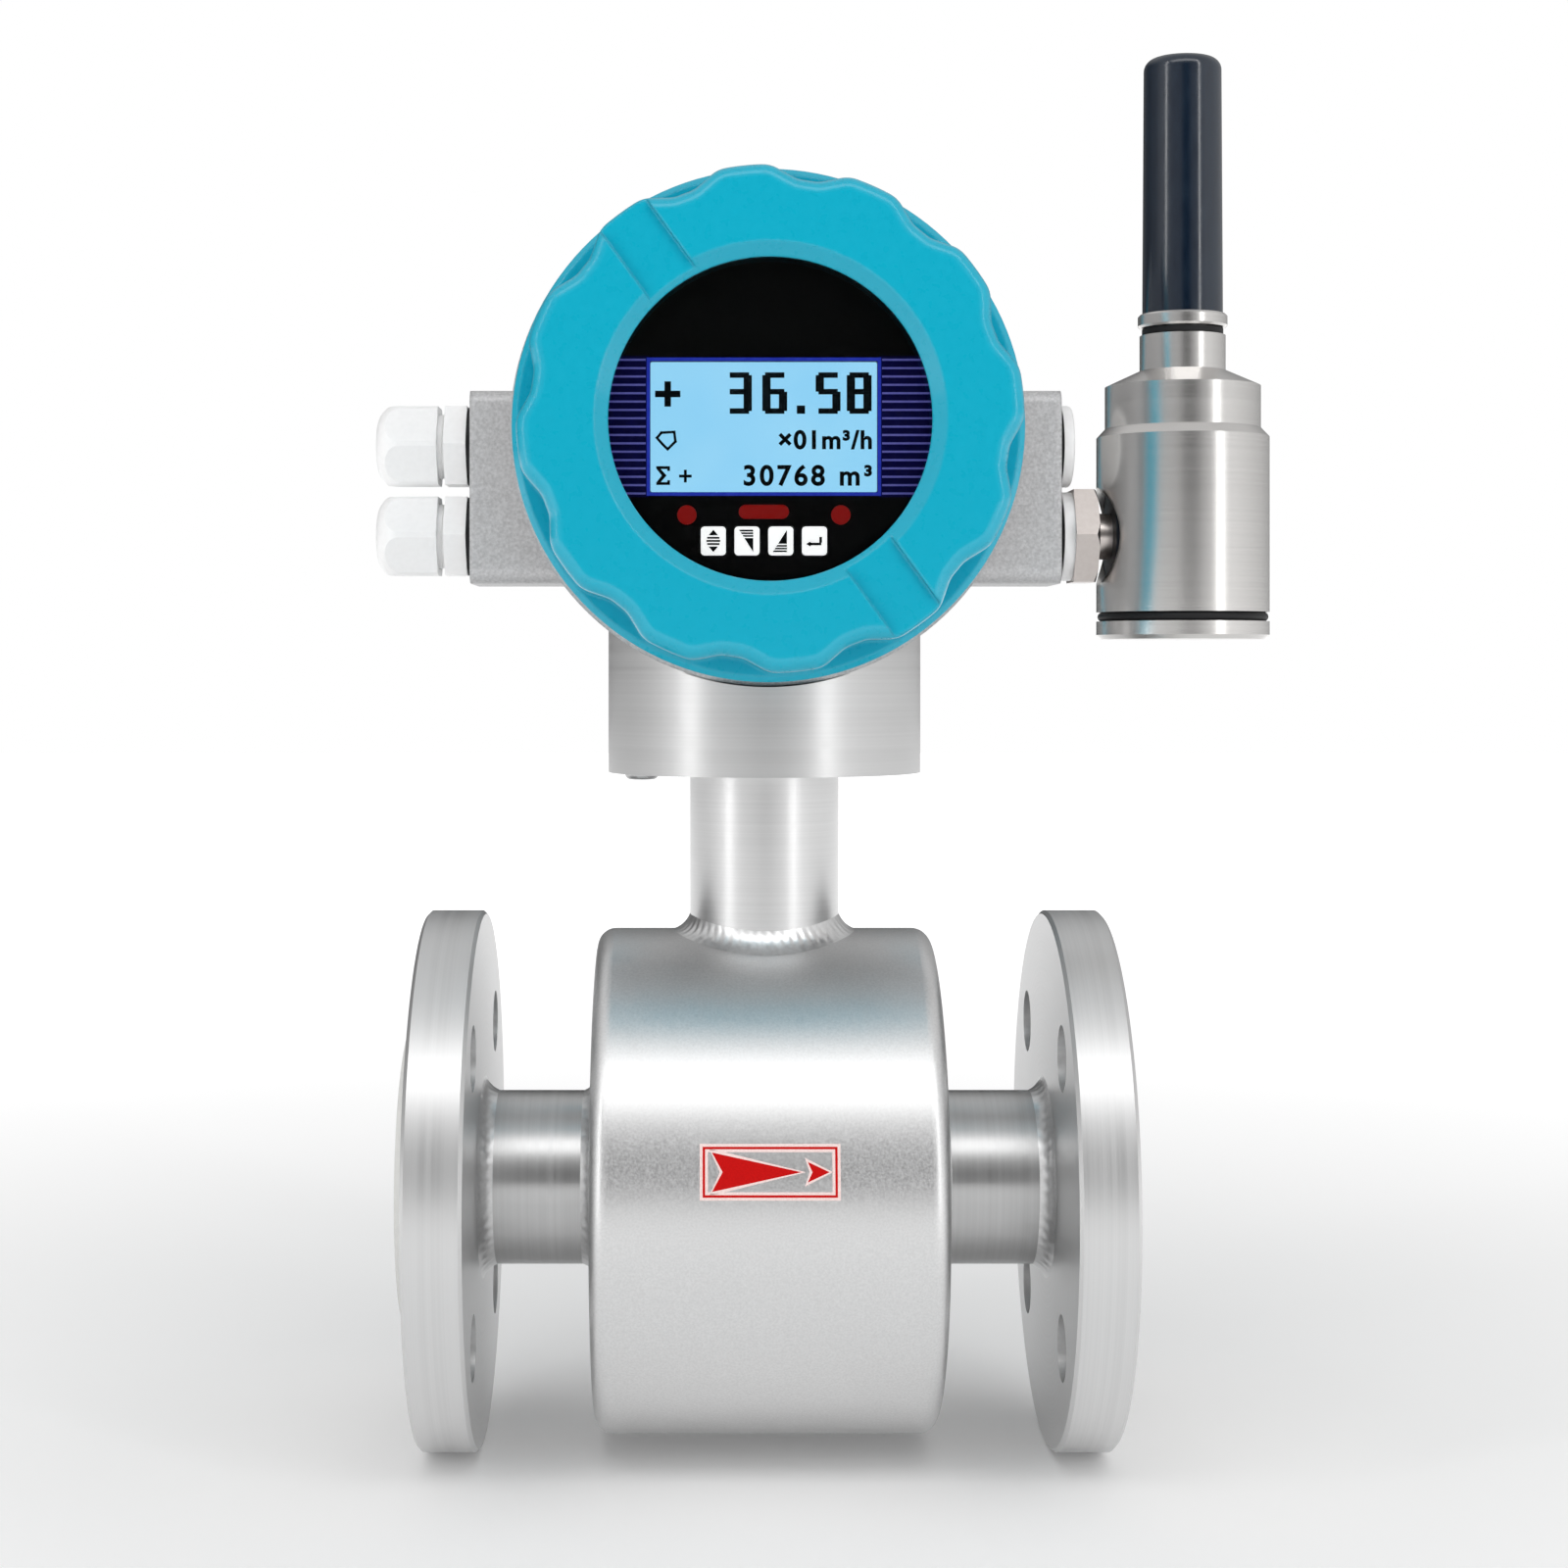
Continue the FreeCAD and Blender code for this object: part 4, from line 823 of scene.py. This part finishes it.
def digit(strokes, left, low, dot):
    """A digit nine dots wide and fifteen high, as square dots; its strokes are named round from the
    top, a to f, with g in the middle."""
    spans = {"a": (1, 7, 13, 14), "b": (6, 8, 8, 13), "c": (6, 8, 1, 7), "d": (1, 7, 0, 1)}
    spans |= {"e": (0, 2, 1, 7), "f": (0, 2, 8, 13), "g": (1, 7, 7, 8)}
    dots = set()
    for name in strokes:
        first, last, bottom, top = spans[name]
        dots |= {(column, row) for column in range(first, last + 1) for row in range(bottom, top + 1)}
    size = 0.995 * dot
    return [box_outline(size, size, left + column * dot, low + row * dot) for column, row in sorted(dots)]


def bell(x, z, size):
    """A small tilted bell in outline, the sign for an alarm."""
    corners = [(-0.5, 0.14), (-0.26, 0.42), (0.44, 0.46), (0.5, -0.06), (0.08, -0.48), (-0.2, -0.2)]
    bars = []
    for k, first in enumerate(corners):
        a, b = Vector(first), Vector(corners[(k + 1) % len(corners)])
        along = (b - a).normalized() * 0.07
        side = Vector((-along.y, along.x))
        ends = (a - along - side, b + along - side, b + along + side, a - along + side)
        bars.append([(x + end.x * size, z + end.y * size) for end in ends])
    return bars


def plus_sign(x, z, span, line):
    """A plus about a place: one bar across, and one upright above it and below it."""
    across = box_outline(span, line, x, z)
    rise = (span - line) / 2
    uprights = [box_outline(line, rise, x, z + side * (line + rise) / 2) for side in (-1, 1)]
    return [across] + uprights


def total_sign(x, z):
    """A sum sign and a plus, as high as a line of small text, that start at the given place."""
    lower = [(0, 0.6), (0, 0), (3.6, 0), (3.6, 1.25), (2.9, 1.25), (2.9, 0.75), (1.2, 0.75)]
    upper = [(a, 4.9 - b) for a, b in reversed(lower)]
    outline = lower + [(2.7, 2.45)] + upper + [(1.45, 2.45)]
    plus = plus_sign(x + 7.6 * mm, z + 2.3 * mm, 3.3 * mm, 0.74 * mm)
    return [[(x + a * mm, z + b * mm) for a, b in outline]] + plus


def display_marks():
    """All the dark marks on the pane as one piece: three lines, each with a sign at its left."""
    crystal = ink("dark liquid crystal", "02090D", "040C10")
    flow_z, unit_z, total_z = 3.9 * mm, -5.5 * mm, -15.0 * mm
    dot, right = 0.72 * mm, 28.4 * mm
    outlines = plus_sign(-25.0 * mm, flow_z + 4.8 * mm, 6.6 * mm, 1.7 * mm)
    outlines.append(box_outline(3 * dot, 3 * dot, 9.7 * mm, flow_z + dot))
    for strokes, left in (("abcdg", -9.2), ("acdefg", 0.0), ("acdfg", 13.9), ("abcdefg", 22.0)):
        outlines += digit(strokes, left * mm, flow_z, dot)
    outlines += bell(-25.4 * mm, unit_z + 2.1 * mm, 4.8 * mm)
    outlines += total_sign(-28.0 * mm, total_z)
    shape = bmesh.new()
    shape.from_mesh(film("signs", outlines, at_front(pane_front), 0.04 * mm))
    shape.from_mesh(line_of_text("×01m³/h", 6.7 * mm, right, unit_z, 1.08))
    shape.from_mesh(line_of_text("30768 m³", 7.3 * mm, right, total_z, 1.22))
    mesh = bpy.data.meshes.new("display_marks")
    shape.to_mesh(mesh)
    shape.free()
    new_piece("display_marks", mesh, "head", crystal)


display_marks()

# Sensor eyes. Deep red lenses moulded in acrylic, let into the plate so that they are flush with it.


def red_lens():
    """Tinted acrylic: dark red and glossy, with a painted red glow of its own."""
    # Painted glow: the lens gives off red light, though it is no lamp.
    constants = {"Roughness": 0.2, "Emission Color": linear("7A0806"), "Emission Strength": 0.75}
    material, tree, shader = finish("dark red acrylic lens", constants)
    vary(tree, shader, grain(tree, 0.5), ("4A0504", "560605"))
    return material


dress("sensor_eyes", red_lens())

# Keys. White moulded caps over the switches of the display board. They stand proud of the plate, and
# each has a black sign printed on it.


def white_cap():
    """Moulded ABS key: clean cool white with a fine satin skin. Its front has a painted glow that lifts it
    to white, and the skirt past the plate's face is painted near black as painted shade."""
    constants = {"Specular IOR Level": 0.3, "Emission Color": linear("FFFFFF")}
    material, tree, shader = finish("white moulded key", constants)
    vary(tree, shader, grain(tree, 1.5), None, (0.32, 0.42), (0.08, 0.01))
    here = put(tree, "ShaderNodeTexCoord").outputs["Object"]
    depth = put(tree, "ShaderNodeSeparateXYZ", {0: here}).outputs["Y"]
    plate = {0: depth, 1: plate_front + 0.15 * mm}
    painted_shade_skirt = put(tree, "ShaderNodeMath", plate, operation="GREATER_THAN").outputs[0]
    # Painted shade: past the plate's face the key is painted near black, for the shade that the plate casts
    # on its skirt.
    tones = {0: painted_shade_skirt, 6: linear("F6F7F7"), 7: linear("050506")}
    tone = put(tree, "ShaderNodeMix", tones, data_type="RGBA").outputs[2]
    tree.links.new(tone, shader.inputs["Base Color"])
    # Painted glow: the key's front gives off white light of its own, though it is no lamp; none past the
    # plate's face.
    limits = {"Value": painted_shade_skirt, "To Min": 0.58, "To Max": 0.0}
    tree.links.new(put(tree, "ShaderNodeMapRange", limits).outputs[0], shader.inputs["Emission Strength"])
    return material


def sloped_bar(high, low, edge, slope):
    """A bar between two heights whose left end follows a slope and whose right end is upright."""
    return [(edge, high), (edge, low), (edge - slope(low), low), (edge - slope(high), high)]


def upside_down(outline):
    """An outline turned over, top to bottom, and still drawn the same way round."""
    return [(x, -z) for x, z in reversed(outline)]


def key_signs():
    """The outlines of the four signs about a key's middle: scroll, down, up and enter."""
    top = 2.9 * mm
    arrow = [(0, top), (-1.25 * mm, top / 2), (1.25 * mm, top / 2)]
    bars = [box_outline(w * mm, 0.5 * mm, 0, z * mm) for w, z in ((3.2, 0.8), (3.6, 0), (3.2, -0.8))]
    scroll = [arrow] + bars + [upside_down(arrow)]
    edge = 1.6 * mm

    def wedge(z):
        return 3.7 * mm * (z + top) / (2 * top)

    solid_top = 0.75 * mm
    solid = [(edge, solid_top), (edge, -top), (edge - wedge(solid_top), solid_top)]
    stripes = [sloped_bar(z * mm + 0.46 * mm, z * mm, edge, wedge) for z in (1.05, 1.75, 2.45)]
    down = [solid] + stripes
    up = [upside_down(outline) for outline in down]
    stem = box_outline(3.2 * mm, 0.7 * mm, 0.2 * mm, -0.8 * mm)
    riser = box_outline(0.7 * mm, 1.5 * mm, 1.6 * mm, 0.3 * mm)
    tip = [(-2.2 * mm, -0.8 * mm), (-1.0 * mm, -1.5 * mm), (-1.0 * mm, -0.1 * mm)]
    return {"key_menu": scroll, "key_down": down, "key_up": up, "key_enter": [stem, riser, tip]}


cap_white = white_cap()
sign_black = ink("black printed key sign", "0C0D0E", "161718")
for key_name, outlines in key_signs().items():
    dress(key_name, cap_white)
    cap_low, cap_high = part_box(key_name)

    def on_key(x, z, lift):
        return Vector(((cap_low.x + cap_high.x) / 2 + x, cap_low.y - lift, (cap_low.z + cap_high.z) / 2 + z))

    sign = film(f"{key_name}_sign", outlines, on_key, 0.03 * mm)
    new_piece(f"{key_name}_sign", sign, key_name, sign_black)

# Circuit boards. Glass-epoxy boards under green solder mask with black parts, on brass standoffs and
# nickel-plated screws; the display's back plate is one of the black parts.


def circuit(board):
    """Green solder mask within the board's own thickness, at the back of its node, with fine paler
    tracks; what stands on the board is black."""
    half_t = 0.8 * mm
    board_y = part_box(board)[1].y - half_t
    track_cell = 6.25 * mm
    material, tree, shader = finish(f"solder mask of {board}", {"Roughness": 0.32})
    here = put(tree, "ShaderNodeTexCoord").outputs["Object"]
    depth = put(tree, "ShaderNodeSeparateXYZ", {0: here}).outputs["Y"]
    band = {0: depth, 1: board_y, 2: half_t + 0.02 * mm}
    inside = put(tree, "ShaderNodeMath", band, operation="COMPARE").outputs[0]
    tracks = {"Vector": here, "Scale": 1 / track_cell, "Mortar Size": 0.03}
    tracks |= {"Row Height": 0.4, "Brick Width": 0.9}
    tracks |= {"Color1": linear("0B4A24"), "Color2": linear("0E5229"), "Mortar": linear("1D7440")}
    mask = put(tree, "ShaderNodeTexBrick", tracks).outputs["Color"]
    black = linear("17181A")
    tone = put(tree, "ShaderNodeMix", {0: inside, 6: black, 7: mask}, data_type="RGBA").outputs[2]
    tree.links.new(tone, shader.inputs["Base Color"])
    return material


def green_polyamide():
    """Moulded polyamide of the terminal strip: mid green with a dry satin skin."""
    material, tree, shader = finish("green polyamide", {})
    vary(tree, shader, grain(tree, 0.8), ("1C6A3C", "227546"), (0.4, 0.52), (0.1, 0.01))
    return material


def plated(name, tones, roughness):
    """The skin of a small turned part: smooth metal with a little wear."""
    material, tree, shader = finish(name, {"Metallic": 1.0})
    vary(tree, shader, grain(tree, 1.4), tones, roughness)
    return material


nickel = plated("nickel plate", ("BDB8AE", "D5D1C8"), (0.18, 0.3))
dress("main_board", circuit("main_board"))
dress("display_board", circuit("display_board"))
dress("terminal_block", green_polyamide())
dress("board_standoffs", plated("turned brass", ("A8853E", "C9A456"), (0.25, 0.36)))
dress("board_screws", nickel)


def slotted_head():
    """A turned screw head that faces +Y: two segments with the slot between them, on a round base."""
    head_r, thick, slot, slot_floor = 2.25 * mm, 1.4 * mm, 0.55 * mm, 0.6 * mm
    shape = bmesh.new()
    base = [(head_r * cos(2 * pi * k / 48), head_r * sin(2 * pi * k / 48)) for k in range(48)]
    parts = []
    for side in (-1, 1):
        arc = [side * (radians(-90) + k * pi / 24) for k in range(25)]
        segment = [(side * max(slot / 2, head_r * cos(a)), head_r * sin(a)) for a in arc]
        parts.append((segment, slot_floor, thick))
    parts.append((base, 0.0, slot_floor))
    for outline, bottom, top in parts:
        add_prism(shape, [(x, bottom, z) for x, z in outline], [(x, top, z) for x, z in outline])
    return bpy.data.objects.new("terminal_screw", mesh_from(shape, "terminal_screw"))


def row_tree():
    """A row of copies of one piece, each turned about Y as chance left it."""
    sockets = (("Start", "Vector"), ("Step", "Vector"), ("Count", "Int"), ("Piece", "Object"))
    tree, given = new_tree("row", sockets + (("Material", "Material"),))
    line = {"Count": given["Count"], "Start Location": given["Start"], "Offset": given["Step"]}
    points = put(tree, "GeometryNodeMeshLine", line).outputs[0]
    piece = put(tree, "GeometryNodeObjectInfo", {"Object": given["Piece"]}).outputs["Geometry"]
    chance = {2: 0.0, 3: 3.1, "Seed": 7}
    quarter = put(tree, "FunctionNodeRandomValue", chance, data_type="FLOAT").outputs[1]
    turn = put(tree, "ShaderNodeCombineXYZ", {1: quarter}).outputs[0]
    row = {"Points": points, "Instance": piece, "Rotation": turn}
    end_tree(tree, put(tree, "GeometryNodeInstanceOnPoints", row).outputs[0], given["Material"])
    return tree


def terminal_screws():
    """Eight slotted clamp screws at the bottom of the strip's wells, from one turned head."""
    count, pitch, well = 8, 8.5 * mm, 5.9 * mm
    low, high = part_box("terminal_block")
    head = slotted_head()
    first = (-(count - 1) / 2 * pitch, high.y - well, (low.z + high.z) / 2)
    values = {"Start": first, "Step": (pitch, 0.0, 0.0), "Count": count, "Piece": head, "Material": nickel}
    new_piece("terminal_screws", grown("terminal_screws", row_tree(), values), "head")
    bpy.data.objects.remove(head)


terminal_screws()

# Cable glands and blanking plug. White injection-moulded nylon, screwed into the ports against flat
# rubber seals; each gland's dome nut squeezes a rubber insert.


def moulded_nylon():
    """Nylon: clean white, satin, and milky enough that its edges stay light."""
    depth = 3.0 * mm
    constants = {"Subsurface Weight": 0.25, "Subsurface Scale": 0.4}
    constants["Subsurface Radius"] = (depth, depth, depth)
    material, tree, shader = finish("white moulded nylon", constants)
    vary(tree, shader, grain(tree, 0.6), ("F6F6F6", "FAFAFA"), (0.34, 0.44), (0.12, 0.02))
    return material


nylon = moulded_nylon()
dress("blanking_plug module_adapter", nylon)
fitting_pitch = 1.5 * mm
gland_thread = (10.4 * mm, 8.87 * mm, fitting_pitch)
for level in ("upper", "lower"):
    dress(f"{level}_gland_body {level}_gland_nut", nylon)
    dress(f"{level}_gland_insert", rubber)
    gland_low, gland_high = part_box(f"{level}_gland_body")
    foot = (gland_low.x + 11.2 * mm, 0, (gland_low.z + gland_high.z) / 2)
    add_thread(f"{level}_gland_thread", "head", nylon, foot, (-1, 0, 0), gland_thread)
plug_low, plug_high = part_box("blanking_plug")
foot = (plug_low.x + 0.4 * mm, 0, (plug_low.z + plug_high.z) / 2)
plug_thread = (10.2 * mm, 9.66 * mm, fitting_pitch)
add_thread("blanking_plug_thread", "blanking_plug", nylon, foot, (1, 0, 0), plug_thread)

# Radio module. A turned stainless sleeve, polished on the lathe, on a nickel-plated stub that a nut of
# the same clamps to the nylon adapter. It is closed below by a screwed cap with a ring seal.

cap_low, cap_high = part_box("module_cap")
module_x = (cap_low.x + cap_high.x) / 2
module_tones = ("D6D4D2", "DAD8D6")
middle = (module_x, 0, 0)
module_steel = turned_steel("polished stainless module", "Z", 1.5, module_tones, (0.24, 0.27), 0.001, middle)
dress("module_body module_cap antenna_ferrule", module_steel)
nut_nickel = turned_steel("nickel-plated nut", "X", 0.7, ("C6BEBA", "CCC5C1"), (0.28, 0.32), 0.001)
dress("module_lock_nut module_stub", nut_nickel)
dress("module_washer", plated("black washer", ("16191E", "20242A"), (0.5, 0.6)))
dress("module_card", circuit("module_card"))
foot = (module_x, 0, cap_high.z - 0.7 * mm)
cap_thread = (8.2 * mm, 16.72 * mm, fitting_pitch)
add_thread("module_cap_thread", "module_cap", module_steel, foot, (0, 0, -1), cap_thread)

# Antenna. A navy whip, moulded in acetal over a turned stainless ferrule that screws into the
# module's neck on a flat rubber seal.


def navy_moulding():
    """Acetal whip: deep navy, semi-gloss, with a slightly flowing moulded skin."""
    material, tree, shader = finish("navy moulded plastic", {"Specular IOR Level": 0.75})
    vary(tree, shader, grain(tree, 0.4, 3.0, (1, 1, 0.3)), ("0C1A2A", "102030"), (0.14, 0.2), (0.06, 0.01))
    return material


dress("antenna_rod", navy_moulding())
foot = (module_x, 0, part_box("antenna_ferrule")[0].z + 0.5 * mm)
antenna_thread = (8.0 * mm, 7.87 * mm, fitting_pitch)
add_thread("antenna_thread", "antenna", module_steel, foot, (0, 0, 1), antenna_thread)
